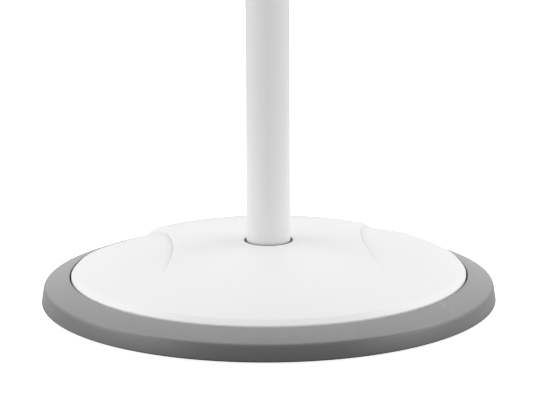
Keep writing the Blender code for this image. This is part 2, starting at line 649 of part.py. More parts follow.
def make_rear_shell():
    shell = head_half("rear_shell", HEAD_BACK_Y, HEAD_SPLIT_Y, 5 * MM, "cover_white")
    boolean(shell, block(
        "cut_bracket_slot", (-11 * MM, -12 * MM, 460 * MM), (11 * MM, 8 * MM, 470 * MM)))
    for side in (-1, 1):
        boolean(shell, cylinder(
            f"cut_floor_hole_{side}", 1.8 * MM, 460 * MM, 472 * MM, (side * 18 * MM, 0), steps=12))
    for number in range(8):
        x = (number - 3.5) * 6 * MM
        boolean(shell, block(
            f"cut_vent_{number}", (x - 1 * MM, 15 * MM, HEAD_MIDDLE_Z + 12 * MM),
            (x + 1 * MM, 26 * MM, HEAD_MIDDLE_Z + 30 * MM)))
    boolean(shell, cylinder(
        "cut_button_hole", 5.2 * MM, 15 * MM, 26 * MM, (BUTTON_X, BUTTON_Z), "Y", steps=24))
    boolean(shell, block(
        "cut_service_step", (SERVICE_X - 21 * MM, 20.1 * MM, BUTTON_Z - 10 * MM),
        (SERVICE_X + 21 * MM, 26 * MM, BUTTON_Z + 10 * MM), corner=2 * MM))
    boolean(shell, block(
        "cut_service_opening", (SERVICE_X - 14 * MM, 15 * MM, BUTTON_Z - 6 * MM),
        (SERVICE_X + 14 * MM, 26 * MM, BUTTON_Z + 6 * MM)))
    boolean(shell, cylinder(
        "cut_service_tap", 1.2 * MM, 15 * MM, 26 * MM, (SERVICE_X + 17.4 * MM, BUTTON_Z), "Y",
        steps=10))
    for number, (x, z) in enumerate(screw_places(), 1):
        boolean(shell, cylinder(
            f"cut_shell_boss_{number}", 4.4 * MM, HEAD_SPLIT_Y + 1 * MM, HEAD_BACK_Y - 1 * MM,
            (x, z), "Y", steps=16), "UNION")
        boolean(shell, cylinder(
            f"cut_shell_hole_{number}", 1.8 * MM, -12 * MM, 24 * MM, (x, z), "Y", steps=12))
        boolean(shell, cylinder(
            f"cut_shell_sink_{number}", 3.3 * MM, 17 * MM, 26 * MM, (x, z), "Y", steps=20))


def make_shell_screws():
    for number, (x, z) in enumerate(screw_places(), 1):
        profile = [(0, 19.6 * MM), (2.3 * MM, 19.6 * MM), (2.9 * MM, 19.0 * MM)]
        profile += [(2.9 * MM, 17.3 * MM), (1.4 * MM, 17.3 * MM), (1.4 * MM, -12.6 * MM)]
        profile += [(0, -12.6 * MM)]
        screw = turned(f"shell_screw_{number}", profile, "zinc_steel", steps=10, closed=False)
        screw.matrix_world = (
            Matrix.Translation((x, 0, z)) @ Matrix.Rotation(-math.pi / 2, 4, "X")
        )


def make_front_bezel():
    bezel = head_half("front_bezel", HEAD_FRONT_Y, HEAD_SPLIT_Y - FIT, 2.5 * MM, "rim_grey")
    boolean(bezel, block(
        "cut_bezel_opening", (-93 * MM, -25 * MM, HEAD_MIDDLE_Z - 27 * MM),
        (93 * MM, -10 * MM, HEAD_MIDDLE_Z + 27 * MM), corner=6 * MM))
    for number, (x, z) in enumerate(screw_places(), 1):
        boolean(bezel, cylinder(
            f"cut_bezel_boss_{number}", 4.0 * MM, HEAD_FRONT_Y + 2 * MM, HEAD_SPLIT_Y - FIT,
            (x, z), "Y", steps=16), "UNION")
        boolean(bezel, cylinder(
            f"cut_bezel_hole_{number}", 1.7 * MM, -14 * MM, -4 * MM, (x, z), "Y", steps=12))


def make_display():
    block(
        "window", (-95.5 * MM, -17.2 * MM, HEAD_MIDDLE_Z - 26.9 * MM),
        (95.5 * MM, -15.2 * MM, HEAD_MIDDLE_Z + 26.9 * MM), "smoked_window", corner=3 * MM,
    )
    block(
        "display_module", (-88 * MM, -14.4 * MM, HEAD_MIDDLE_Z - 20 * MM),
        (88 * MM, -7.4 * MM, HEAD_MIDDLE_Z + 20 * MM), "display_glass",
    )
    block(
        "display_board", (-90 * MM, -4 * MM, HEAD_MIDDLE_Z - 33 * MM),
        (90 * MM, -2.4 * MM, HEAD_MIDDLE_Z + 33 * MM), "board_green",
    )
    block(
        "display_header", (-40 * MM, -7.1 * MM, HEAD_MIDDLE_Z - 3 * MM),
        (40 * MM, -4.3 * MM, HEAD_MIDDLE_Z + 3 * MM), "black_plastic",
    )
    block(
        "board_connector", (-6 * MM, -2.1 * MM, 487 * MM), (6 * MM, 6 * MM, 494 * MM),
        "black_plastic",
    )
    block(
        "mode_switch_block", (SERVICE_X - 10 * MM, -2.1 * MM, BUTTON_Z - 4 * MM),
        (SERVICE_X + 10 * MM, 2.4 * MM, BUTTON_Z + 4 * MM), "black_plastic",
    )


def make_service_cover():
    cover = block(
        "service_cover", (SERVICE_X - 20.7 * MM, 20.4 * MM, BUTTON_Z - 9.7 * MM),
        (SERVICE_X + 20.7 * MM, HEAD_BACK_Y, BUTTON_Z + 9.7 * MM), "cover_white", corner=1.7 * MM,
    )
    place = (SERVICE_X + 17.4 * MM, BUTTON_Z)
    boolean(cover, cylinder("cut_cover_hole", 1.3 * MM, 18 * MM, 25 * MM, place, "Y", steps=10))
    profile = [(0, 23.3 * MM), (1.7 * MM, 23.3 * MM), (2.2 * MM, 22.8 * MM)]
    profile += [(2.2 * MM, 22.3 * MM), (0.9 * MM, 22.3 * MM), (0.9 * MM, 17 * MM), (0, 17 * MM)]
    screw = turned("service_screw", profile, "zinc_steel", steps=10, closed=False)
    screw.matrix_world = (
        Matrix.Translation((place[0], 0, place[1])) @ Matrix.Rotation(-math.pi / 2, 4, "X")
    )


def make_power_button():
    """A button in a hole in the back; its stem stands over the switch on the board."""
    place = Matrix.Translation((BUTTON_X, 0, BUTTON_Z)) @ Matrix.Rotation(-math.pi / 2, 4, "X")
    profile = [(0, 23.6 * MM), (4.2 * MM, 23.6 * MM), (4.8 * MM, 23.0 * MM)]
    profile += [(4.8 * MM, 19.1 * MM), (6.4 * MM, 19.1 * MM), (6.4 * MM, 17.6 * MM)]
    profile += [(2.0 * MM, 17.6 * MM), (2.0 * MM, 4.6 * MM), (0, 4.6 * MM)]
    button = turned("power_button", profile, "rim_grey", steps=16, closed=False)
    button.matrix_world = place
    block(
        "button_switch", (BUTTON_X - 3 * MM, -2.1 * MM, BUTTON_Z - 3 * MM),
        (BUTTON_X + 3 * MM, 3.0 * MM, BUTTON_Z + 3 * MM), "black_plastic",
    )


# Leads inside the object

def lead(name, points, radius=LEAD_RADIUS):
    curve = bpy.data.curves.new(name, "CURVE")
    curve.dimensions = "3D"
    curve.bevel_depth = radius
    curve.bevel_resolution = 2
    curve.use_fill_caps = True
    spline = curve.splines.new("POLY")
    spline.points.add(len(points) - 1)
    for spot, place in zip(spline.points, points):
        spot.co = (*place, 1)
    return add_object(name, curve, "lead_grey")


def make_leads():
    bend = 10 * MM
    height = 7.2 * MM
    route = [(0, y * MM, height) for y in (116.0, 104, 92, 80, 68, 56, 44, 32, 20)]
    for i in range(7):
        angle = math.radians(90 * i / 6)
        route.append((0, bend * (1 - math.sin(angle)), height + bend * (1 - math.cos(angle))))
    route += [(0, 0, z * MM) for z in (28, 39, 50)]
    lead("base_lead", route)
    lead("coiled_lead", [(0, 0, 50.3 * MM), (0, 0, 210 * MM)], COIL_RADIUS)
    lead("mast_lead", [(0, 0, 210.3 * MM), (0, 0, 390 * MM)])
    lead("neck_lead", [(0, 0, 390.3 * MM), (0, 0, TILT_AXIS_Z - 0.3 * MM)])
    rise = [(0, 0, TILT_AXIS_Z + 0.3 * MM), (0, 0, 462 * MM)]
    for i in range(1, 7):
        share = smooth_step(0, 6, i)
        rise.append((0, 2 * MM * share, 462 * MM + 22 * MM * i / 6))
    rise.append((0, 2 * MM, 486.7 * MM))
    lead("head_lead", rise)


# What moves with each joint

COLLAR_AXIS = Vector((0, 0, (COLLAR_BOTTOM_Z + COLLAR_TOP_Z) / 2))
MAST_AXIS = Vector((0, 0, UPPER_FOOT_Z))
SWIVEL_AXIS = Vector((0, 0, (SWIVEL_TOP_Z + NECK_BOTTOM_Z) / 2))
TILT_AXIS = Vector((0, 0, TILT_AXIS_Z))
BUTTON_AXIS = Vector((BUTTON_X, HEAD_BACK_Y, BUTTON_Z))
MAST_PIECES = ("upper_pole", "guide_plug", "swivel_base", "friction_washer", "mast_lead")
NECK_PIECES = (
    "swivel_neck", "swivel_clip", "tilt_pin_left", "tilt_pin_right", "tilt_washer_left",
    "tilt_washer_right", "neck_lead",
)
HEAD_PIECES = (
    "tilt_bracket", "bracket_screw_left", "bracket_screw_right", "rear_shell", "front_bezel",
    "window", "display_module", "display_board", "display_header", "board_connector",
    "mode_switch_block", "service_cover", "service_screw", "button_switch", "shell_screw_1",
    "shell_screw_2", "shell_screw_3", "shell_screw_4", "head_lead",
)


def hang(obj, carrier, carrier_place):
    """Parents an object without moving it. A carrier is never turned or scaled at rest."""
    obj.parent = carrier
    obj.matrix_parent_inverse = Matrix.Translation(-carrier_place)


def carry(name, place, names, parent=None, parent_place=None):
    """An empty on a joint's axis carries the pieces that move there, and their cutters."""
    carrier = bpy.data.objects.new(name, None)
    carrier.location = place
    carrier.empty_display_size = 20 * MM
    pieces.objects.link(carrier)
    for obj in (bpy.data.objects[piece] for piece in names):
        hang(obj, carrier, place)
        for cutter in (m.object for m in obj.modifiers if m.type == "BOOLEAN"):
            hang(cutter, carrier, place)
    if parent:
        hang(carrier, parent, parent_place)
    return carrier


def make_carriers():
    carry("collar_axis", COLLAR_AXIS, ["twist_collar"])
    mast = carry("mast_axis", MAST_AXIS, MAST_PIECES)
    neck = carry("swivel_axis", SWIVEL_AXIS, NECK_PIECES, mast, MAST_AXIS)
    head = carry("tilt_axis", TILT_AXIS, HEAD_PIECES, neck, SWIVEL_AXIS)
    carry("button_axis", BUTTON_AXIS, ["power_button"], head, TILT_AXIS)


clear_scene()
pieces = make_collection("customer_pole_display", bpy.context.scene.collection)
cutters = make_collection("cutters", bpy.context.scene.collection)
lead_notch = block("cut_lead_notch", (-4 * MM, 106 * MM, PAN_FLOOR_TOP_Z + 0.1 * MM),
                   (4 * MM, 118 * MM, 10.2 * MM))
make_top_cover()
make_rim_ring()
make_pan()
make_feet()
make_pan_screws()
make_ballast()
make_pole_socket()
make_port()
make_lower_pole()
make_collet()
make_twist_collar()
make_upper_pole()
make_neck()
make_tilt_hardware()
make_tilt_bracket()
make_rear_shell()
make_shell_screws()
make_front_bezel()
make_display()
make_service_cover()
make_power_button()
make_leads()
make_carriers()
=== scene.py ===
import json
import math

import bmesh
import bpy
from mathutils import Matrix, Vector


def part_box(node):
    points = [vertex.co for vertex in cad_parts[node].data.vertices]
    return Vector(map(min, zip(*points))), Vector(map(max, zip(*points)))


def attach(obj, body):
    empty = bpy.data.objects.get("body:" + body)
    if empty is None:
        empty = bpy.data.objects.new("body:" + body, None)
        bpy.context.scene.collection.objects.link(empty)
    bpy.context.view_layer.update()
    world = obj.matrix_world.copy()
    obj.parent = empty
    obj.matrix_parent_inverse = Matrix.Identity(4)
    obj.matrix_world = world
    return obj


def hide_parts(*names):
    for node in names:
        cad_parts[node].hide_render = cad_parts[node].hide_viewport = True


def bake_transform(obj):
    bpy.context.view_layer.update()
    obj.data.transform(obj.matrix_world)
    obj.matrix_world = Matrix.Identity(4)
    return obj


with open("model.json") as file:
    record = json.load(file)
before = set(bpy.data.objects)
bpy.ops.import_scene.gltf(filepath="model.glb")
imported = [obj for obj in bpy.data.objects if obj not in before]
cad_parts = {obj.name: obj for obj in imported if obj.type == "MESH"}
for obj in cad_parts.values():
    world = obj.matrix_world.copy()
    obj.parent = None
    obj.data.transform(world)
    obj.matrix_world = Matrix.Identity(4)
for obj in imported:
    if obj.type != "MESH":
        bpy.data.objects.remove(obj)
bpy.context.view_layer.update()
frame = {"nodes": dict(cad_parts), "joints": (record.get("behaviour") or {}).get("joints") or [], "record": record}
record = frame["record"]
scene = bpy.context.scene
mm = 0.001
print("frame loaded:", len(frame["nodes"]), "nodes")


# where things are, read from the frame
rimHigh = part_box("rim_ring")[1]
coverLow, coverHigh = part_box("top_cover")
poleLow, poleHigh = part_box("lower_pole")
upperLow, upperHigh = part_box("upper_pole")
shellLow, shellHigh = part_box("rear_shell")
bezelLow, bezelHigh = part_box("front_bezel")
baseRadius = rimHigh.x
headMiddleZ = (shellLow.z + shellHigh.z) / 2
tiltAxisZ = next(j for j in frame["joints"] if j["name"] == "head_tilt")["pos_m"][2]


def middleOf(node):
    low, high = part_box(node)
    return (low + high) / 2


# camera, light and stage
cameraLook = {
    "distance": 15.0 * baseRadius,
    "side": 0.014 * baseRadius,
    "height": 4.175 * baseRadius,
    "pitch": 13.948,
    "roll": -0.274,
    "heading": -3.2,
    "lens": 233.8,
}


def makeCamera():
    look = cameraLook
    data = bpy.data.cameras.new("camera")
    data.lens = look["lens"]
    data.sensor_width = 36
    data.clip_start, data.clip_end = 0.1, 50
    camera = bpy.data.objects.new("camera", data)
    scene.collection.objects.link(camera)
    turn = Matrix.Rotation(math.radians(look["heading"]), 4, "Z")
    place = Matrix.Translation((look["side"], -look["distance"], look["height"]))
    tip = Matrix.Rotation(math.radians(90 - look["pitch"]), 4, "X")
    roll = Matrix.Rotation(math.radians(look["roll"]), 4, "Z")
    camera.matrix_world = turn @ place @ tip @ roll
    scene.camera = camera


studioLook = {
    "front": 0.92,  # sky brightness low down behind the camera
    "side": 3.15,
    "sideBack": 2.0,
    "back": 1.2,
    "top": 0.95,
    "floorSize": 12,
    "floorBounce": 0.25,  # how light the floor is to everything but the camera
    "floorSide": 0.85,  # the same, close by on both sides
    "floorWhite": 0.9,
    "floorGlow": 0.9,
    "keyPlace": (1.8, 0.6, 1.9),
    "keyAim": (0, 0, 0.05),
    "keyWatts": 9.0,
    "keySize": 1.6,
}


def addNode(tree, kind, place, feed=None, **values):
    # feed gives an input its value, or the output that it is joined to
    node = tree.nodes.new(kind)
    node.location = place
    for key, value in values.items():
        setattr(node, key, value)
    for key, value in (feed or {}).items():
        if isinstance(value, bpy.types.NodeSocket):
            tree.links.new(value, node.inputs[key])
        else:
            node.inputs[key].default_value = value
    return node


def remap(tree, place, source, start, end, low=0.0, high=1.0, curve="LINEAR"):
    feed = {"Value": source, "From Min": start, "From Max": end, "To Min": low, "To Max": high}
    return addNode(tree, "ShaderNodeMapRange", place, feed, interpolation_type=curve).outputs[0]


def combine(tree, place, operation, first, second=0.0):
    return addNode(tree, "ShaderNodeMath", place, {0: first, 1: second}, operation=operation).outputs[0]


def addNoise(tree, place, vector, scale, detail):
    feed = {"Vector": vector, "Scale": scale, "Detail": detail}
    return addNode(tree, "ShaderNodeTexNoise", place, feed).outputs["Fac"]


def splitVector(tree, place, vector):
    return addNode(tree, "ShaderNodeSeparateXYZ", place, {0: vector}).outputs


def showToCamera(tree, others, camera, output):
    # the camera sees one shader and every other ray the other
    ray = addNode(tree, "ShaderNodeLightPath", (50, 350))
    feed = {0: ray.outputs["Is Camera Ray"], 1: others, 2: camera}
    mix = addNode(tree, "ShaderNodeMixShader", (250, 0), feed)
    addNode(tree, output, (450, 0), {"Surface": mix.outputs[0]})


def makeWorld():
    look = studioLook
    world = bpy.data.worlds.new("studio")
    scene.world = world
    world.use_nodes = True
    tree = world.node_tree
    tree.nodes.clear()
    coords = addNode(tree, "ShaderNodeTexCoord", (-1000, 0))
    heading = splitVector(tree, (-800, 0), coords.outputs["Generated"])
    across = combine(tree, (-600, 150), "ABSOLUTE", heading["X"])
    middle = remap(tree, (-600, -50), heading["Y"], -0.9, 0.5, look["front"], look["back"], "SMOOTHSTEP")
    toSide = remap(tree, (-600, -300), across, 0.52, 1.0, curve="SMOOTHSTEP")
    side = remap(tree, (-600, -550), heading["Y"], -0.3, 0.6, look["side"], look["sideBack"], "SMOOTHSTEP")
    around = addNode(tree, "ShaderNodeMix", (-350, 0), {0: toSide, 2: middle, 3: side}, data_type="FLOAT")
    upward = remap(tree, (-350, -250), heading["Z"], 0.35, 0.95, curve="SMOOTHSTEP")
    feed = {0: upward, 2: around.outputs[0], 3: look["top"]}
    level = addNode(tree, "ShaderNodeMix", (-150, 0), feed, data_type="FLOAT")
    lit = addNode(tree, "ShaderNodeBackground", (50, 0), {"Strength": level.outputs[0]})
    seen = addNode(tree, "ShaderNodeBackground", (50, -150), {"Color": (1, 1, 1, 1)})
    showToCamera(tree, lit.outputs[0], seen.outputs[0], "ShaderNodeOutputWorld")
    scene.view_settings.view_transform = "Standard"


def grey(level):
    return (level, level, level, 1)


def makeStage():
    look = studioLook
    bm = bmesh.new()
    bmesh.ops.create_grid(bm, x_segments=1, y_segments=1, size=look["floorSize"])
    mesh = bpy.data.meshes.new("floor")
    bm.to_mesh(mesh)
    bm.free()
    floor = bpy.data.objects.new("floor", mesh)
    scene.collection.objects.link(floor)
    paint = bpy.data.materials.new("paleFloor")
    paint.use_nodes = True
    tree = paint.node_tree
    tree.nodes.clear()
    white = addNode(tree, "ShaderNodeBsdfDiffuse", (-200, 200), {"Color": grey(look["floorWhite"])})
    glow = addNode(tree, "ShaderNodeEmission", (-200, 50), {"Strength": look["floorGlow"]})
    seen = addNode(tree, "ShaderNodeAddShader", (0, 100), {0: white.outputs[0], 1: glow.outputs[0]})
    coords = addNode(tree, "ShaderNodeTexCoord", (-800, -200))
    place = splitVector(tree, (-600, -200), coords.outputs["Object"])
    across = combine(tree, (-400, -200), "ABSOLUTE", place["X"])
    bright = addNode(tree, "ShaderNodeValToRGB", (-300, -200), {0: across})
    ramp = bright.color_ramp
    ramp.interpolation = "EASE"
    ramp.elements[0].position, ramp.elements[0].color = 0.05, grey(look["floorBounce"])
    ramp.elements[1].position, ramp.elements[1].color = 0.14, grey(look["floorSide"])
    ramp.elements.new(0.24).color = grey(look["floorSide"])
    ramp.elements.new(0.4).color = grey(look["floorBounce"])
    bounce = addNode(tree, "ShaderNodeBsdfDiffuse", (0, -100), {"Color": bright.outputs[0]})
    showToCamera(tree, bounce.outputs[0], seen.outputs[0], "ShaderNodeOutputMaterial")
    mesh.materials.append(paint)
    for side in (-1, 1):
        data = bpy.data.lights.new(f"softbox{side}", "AREA")
        data.shape = "DISK"
        data.size = look["keySize"]
        data.energy = look["keyWatts"]
        light = bpy.data.objects.new(data.name, data)
        scene.collection.objects.link(light)
        light.location = Vector(look["keyPlace"]) * Vector((side, 1, 1))
        aim = Vector(look["keyAim"]) - light.location
        light.rotation_euler = aim.to_track_quat("-Z", "Y").to_euler()


# shader node groups
def newGroup(name, inputs, outputs):
    # a group's inputs with their starting values, where None stands for a vector
    group = bpy.data.node_groups.new(name, "ShaderNodeTree")
    for socket, value in inputs.items():
        kind = "NodeSocketVector" if value is None else "NodeSocketFloat"
        made = group.interface.new_socket(socket, in_out="INPUT", socket_type=kind)
        if value is not None:
            made.default_value = value
    for socket in outputs:
        group.interface.new_socket(socket, in_out="OUTPUT", socket_type="NodeSocketFloat")
    return group, addNode(group, "NodeGroupInput", (-900, 0)).outputs


def makeGrain():
    # moulded or painted skin: fine grain over a slower ripple
    inputs = {"Vector": None, "Grain Size": 0.0004, "Ripple": 0.2, "Spread": 0.05}
    group, given = newGroup("skinGrain", inputs, ["Height", "Shift", "Slow"])
    scale = combine(group, (-700, -200), "DIVIDE", 1.0, given["Grain Size"])
    fine = addNoise(group, (-500, 100), given["Vector"], scale, 3)
    slow = addNoise(group, (-500, -200), given["Vector"], 38, 2)
    rippled = combine(group, (-250, -100), "MULTIPLY", slow, given["Ripple"])
    height = combine(group, (0, 50), "ADD", fine, rippled)
    centred = combine(group, (-250, -300), "SUBTRACT", slow, 0.5)
    shift = combine(group, (0, -250), "MULTIPLY", centred, given["Spread"])
    addNode(group, "NodeGroupOutput", (700, 0), {"Height": height, "Shift": shift, "Slow": slow})
    return group


def makeWearAndHighlight():
    # rubbed edges, and on the rim a painted highlight along the shoulder: bright where the surface bends outwards,
    # broken up by noise
    inputs = {"Vector": None, "From": 0.52, "To": 0.62, "Amount": 0.5}
    group, given = newGroup("edgeWearAndHighlight", inputs, ["Mask"])
    geometry = addNode(group, "ShaderNodeNewGeometry", (-700, 200))
    edge = remap(group, (-450, 150), geometry.outputs["Pointiness"], given["From"], given["To"])
    broken = addNoise(group, (-700, -150), given["Vector"], 260, 4)
    patches = remap(group, (-450, -150), broken, 0.42, 0.62)
    both = combine(group, (-200, 50), "MULTIPLY", edge, patches)
    mask = combine(group, (0, 50), "MULTIPLY", both, given["Amount"])
    addNode(group, "NodeGroupOutput", (700, 0), {"Mask": mask})
    return group


def makeDustAndTopLight():
    # a thin film that settles on what faces up; where its amount is large, as on the rim, it is mainly painted
    # light that makes the up-facing top lighter
    group, given = newGroup("dustAndTopLightFilm", {"Vector": None, "Amount": 0.1}, ["Mask"])
    geometry = addNode(group, "ShaderNodeNewGeometry", (-700, 200))
    facing = splitVector(group, (-500, 200), geometry.outputs["Normal"])
    upward = remap(group, (-300, 200), facing["Z"], 0.55, 1.0)
    specks = addNoise(group, (-500, -150), given["Vector"], 120, 6)
    thin = remap(group, (-300, -150), specks, 0.3, 0.7, 0.9, 1.0)
    both = combine(group, (-100, 50), "MULTIPLY", upward, thin)
    mask = combine(group, (100, 50), "MULTIPLY", both, given["Amount"])
    addNode(group, "NodeGroupOutput", (700, 0), {"Mask": mask})
    return group


skinGrain = makeGrain()
edgeWearAndHighlight = makeWearAndHighlight()
dustAndTopLightFilm = makeDustAndTopLight()


def mixColour(tree, place, mask, under, over):
    # under is a plain colour or an output, and over is a plain colour
    base = (*under, 1) if isinstance(under, tuple) else under
    feed = {0: mask, 6: base, 7: (*over, 1)}
    return addNode(tree, "ShaderNodeMix", place, feed, data_type="RGBA").outputs[2]


def makeFinish(name, look):
    # every finish is one shader fed by the three effects
    paint = bpy.data.materials.new(name)
    paint.use_nodes = True
    tree = paint.node_tree
    shader = tree.nodes["Principled BSDF"]
    vector = addNode(tree, "ShaderNodeTexCoord", (-1300, 0)).outputs["Object"]
    feed = {"Vector": vector, "Grain Size": look["grain"], "Ripple": look.get("ripple", 0.2), "Spread": 0.06}
    grain = addNode(tree, "ShaderNodeGroup", (-1000, 0), feed, node_tree=skinGrain)
    feed = {"Vector": vector, "From": 0.53, "To": 0.64, "Amount": look.get("wearAndHighlight", 0.3)}
    wearAndHighlight = addNode(tree, "ShaderNodeGroup", (-1000, 300), feed, node_tree=edgeWearAndHighlight)
    feed = {"Vector": vector, "Amount": look.get("dustAndTopLight", 0.05)}
    dustAndTopLight = addNode(tree, "ShaderNodeGroup", (-1000, -300), feed, node_tree=dustAndTopLightFilm)
    base = look["colour"]
    shade = tuple(c * look.get("mottle", 0.97) for c in base)
    colour = mixColour(tree, (-700, 100), grain.outputs["Slow"], base, shade)
    # edge wear; where its amount is high, as on the rim, it is a painted highlight along the shoulder
    colour = mixColour(tree, (-500, 100), wearAndHighlight.outputs["Mask"], colour, look.get("wornAndHighlightTo", base))
    # dust on up-facing faces; on the rim its large amount is painted top light
    colour = mixColour(tree, (-300, 100), dustAndTopLight.outputs["Mask"], colour, dustAndTopLightGrey)
    tree.links.new(colour, shader.inputs["Base Color"])
    rough = combine(tree, (-500, -150), "ADD", grain.outputs["Shift"], look["roughness"])
    tree.links.new(rough, shader.inputs["Roughness"])
    feed = {"Strength": look.get("bump", 0.15), "Distance": look.get("bumpDepth", 0.00005),
            "Height": grain.outputs["Height"]}
    bump = addNode(tree, "ShaderNodeBump", (-500, -350), feed)
    tree.links.new(bump.outputs[0], shader.inputs["Normal"])
    shader.inputs["Metallic"].default_value = look.get("metallic", 0)
    shader.inputs["IOR"].default_value = look.get("ior", 1.46)
    shader.inputs["Coat Weight"].default_value = look.get("coat", 0)
    shader.inputs["Coat Roughness"].default_value = look.get("coatRoughness", 0.2)
    shader.inputs["Alpha"].default_value = look.get("alpha", 1)
    if "glow" in look:
        dimmer = tuple(c * 0.8 for c in look["glow"])
        glow = mixColour(tree, (-300, 400), grain.outputs["Slow"], look["glow"], dimmer)
        tree.links.new(glow, shader.inputs["Emission Color"])
        shader.inputs["Emission Strength"].default_value = look["glowStrength"]
    return paint


# the grey of dust, and of the painted top light on the rim
dustAndTopLightGrey = (0.5, 0.5, 0.5)
finishes = {
    "cover_white": {"colour": (0.812, 0.812, 0.82), "roughness": 0.36, "grain": 0.00055, "bump": 0.12,
                    "mottle": 0.985, "wornAndHighlightTo": (0.86, 0.86, 0.86), "wearAndHighlight": 0.25, "dustAndTopLight": 0.03},
    # the rim's large edge-wear amount and lighter edge colour paint a highlight along its shoulder
    "rim_grey": {"colour": (0.096, 0.096, 0.096), "roughness": 0.34, "ior": 1.75, "grain": 0.0005,
                 # the rim's large dust amount paints its up-facing top lighter, as light from above would
                 "bump": 0.3, "mottle": 0.94, "wornAndHighlightTo": (0.24, 0.24, 0.24), "wearAndHighlight": 0.5, "dustAndTopLight": 0.4},
    "pole_white": {"colour": (0.775, 0.775, 0.78), "roughness": 0.32, "grain": 0.0009, "bump": 0.18,
                   "ripple": 0.4, "mottle": 0.985, "wornAndHighlightTo": (0.72, 0.72, 0.72), "wearAndHighlight": 0.2, "dustAndTopLight": 0.02},
    "pan_grey": {"colour": (0.15, 0.15, 0.155), "roughness": 0.6, "grain": 0.0006, "bump": 0.35,
                 "mottle": 0.9, "wornAndHighlightTo": (0.24, 0.24, 0.24), "dustAndTopLight": 0.1},
    "cast_iron": {"colour": (0.12, 0.12, 0.12), "roughness": 0.62, "grain": 0.0016, "bump": 0.6,
                  "bumpDepth": 0.0003, "metallic": 0.8, "mottle": 0.7, "wornAndHighlightTo": (0.3, 0.29, 0.28),
                  "dustAndTopLight": 0.1},
    "zinc_steel": {"colour": (0.66, 0.66, 0.68), "roughness": 0.3, "grain": 0.0003, "bump": 0.2,
                   "metallic": 1.0, "mottle": 0.88, "wornAndHighlightTo": (0.8, 0.8, 0.82), "dustAndTopLight": 0.02},
    "black_rubber": {"colour": (0.035, 0.035, 0.036), "roughness": 0.7, "grain": 0.0007, "bump": 0.4,
                     "mottle": 0.85, "wornAndHighlightTo": (0.09, 0.09, 0.09), "dustAndTopLight": 0.12},
    "black_plastic": {"colour": (0.04, 0.04, 0.043), "roughness": 0.42, "grain": 0.0004, "bump": 0.3,
                      "mottle": 0.9, "wornAndHighlightTo": (0.1, 0.1, 0.1), "dustAndTopLight": 0.05},
    "board_green": {"colour": (0.025, 0.15, 0.06), "roughness": 0.3, "grain": 0.002, "bump": 0.2,
                    "mottle": 0.75, "wornAndHighlightTo": (0.08, 0.25, 0.12), "coat": 0.4},
    "smoked_window": {"colour": (0.02, 0.022, 0.025), "roughness": 0.06, "grain": 0.003, "bump": 0.02,
                      "mottle": 0.9, "wearAndHighlight": 0.0, "dustAndTopLight": 0.02, "alpha": 0.72, "coat": 1.0,
                      "coatRoughness": 0.03},
    "display_glass": {"colour": (0.05, 0.07, 0.07), "roughness": 0.12, "grain": 0.003, "bump": 0.03,
                      "mottle": 0.9, "wearAndHighlight": 0.0, "dustAndTopLight": 0.0},
    "lead_grey": {"colour": (0.11, 0.11, 0.115), "roughness": 0.5, "grain": 0.0005, "bump": 0.3,
                  "mottle": 0.9, "wornAndHighlightTo": (0.18, 0.18, 0.18), "dustAndTopLight": 0.05},
    "litPhosphor": {"colour": (0.2, 0.9, 0.75), "roughness": 0.5, "grain": 0.0003, "wearAndHighlight": 0.0, "dustAndTopLight": 0.0,
                    "glow": (0.12, 1.0, 0.72), "glowStrength": 6},
    "darkPhosphor": {"colour": (0.16, 0.2, 0.19), "roughness": 0.6, "grain": 0.0003, "mottle": 0.85,
                     "wearAndHighlight": 0.0, "dustAndTopLight": 0.0},
}
paints = {name: makeFinish(name, look) for name, look in finishes.items()}
slotOf = {part["node"]: part["material_slot"] for part in record["subparts"]}
for node, piece in frame["nodes"].items():
    piece.data.materials.clear()
    piece.data.materials.append(paints[slotOf[node]])


# shaping helpers
def meshFrom(bm, name):
    mesh = bpy.data.meshes.new(name)
    bm.to_mesh(mesh)
    bm.free()
    return mesh


def facingOut(bm):
    bmesh.ops.remove_doubles(bm, verts=bm.verts, dist=0.0005 * mm)
    bmesh.ops.recalc_face_normals(bm, faces=bm.faces)


def softened(corners, closed=True, steps=5):
    # an outline whose corners (across, up, radius) are turned into arcs
    found = []
    count = len(corners)
    for i, corner in enumerate(corners):
        here = Vector(corner[:2])
        radius = corner[2] if len(corner) > 2 else 0
        ends = not closed and i in (0, count - 1)
        if radius <= 0 or ends:
            found.append(here)
            continue
        before = Vector(corners[i - 1][:2]) - here
        after = Vector(corners[(i + 1) % count][:2]) - here
        opening = before.angle(after)
        back = min(radius / math.tan(opening / 2), 0.49 * before.length, 0.49 * after.length)
        start, stop = here + before.normalized() * back, here + after.normalized() * back
        radius = back * math.tan(opening / 2)
        middle = here + (before.normalized() + after.normalized()).normalized() * (
            radius / math.sin(opening / 2))
        sweep = (start - middle).angle_signed(stop - middle)
        for step in range(steps + 1):
            turn = Matrix.Rotation(-sweep * step / steps, 2)
            found.append(middle + turn @ (start - middle))
    return found


def spinPoints(bm, points, steps, closed=True):
    verts = [bm.verts.new((p[0], 0, p[1])) for p in points]
    edges = [bm.edges.new(pair) for pair in zip(verts, verts[1:])]
    if closed:
        edges.append(bm.edges.new((verts[-1], verts[0])))
    bmesh.ops.spin(
        bm, geom=verts + edges, cent=(0, 0, 0), axis=(0, 0, 1),
        angle=2 * math.pi, steps=steps, use_merge=True,
    )
    facingOut(bm)


def addPiece(name, bm, slot, body, replaced=(), smooth=30):
    piece = bpy.data.objects.new(name, meshFrom(bm, name))
    scene.collection.objects.link(piece)
    piece.data.materials.append(paints[slot])
    piece.data.shade_smooth()
    piece.data.set_sharp_from_angle(angle=math.radians(smooth))
    if body:
        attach(piece, body)
    if replaced:
        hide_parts(*replaced)
    return piece


def turnedPiece(name, corners, slot, body, replaced=(), steps=96, closed=True, move=None, smooth=30):
    bm = bmesh.new()
    spinPoints(bm, softened(corners, closed), steps, closed)
    if move:
        bmesh.ops.transform(bm, matrix=move, verts=bm.verts)
    return addPiece(name, bm, slot, body, replaced, smooth)


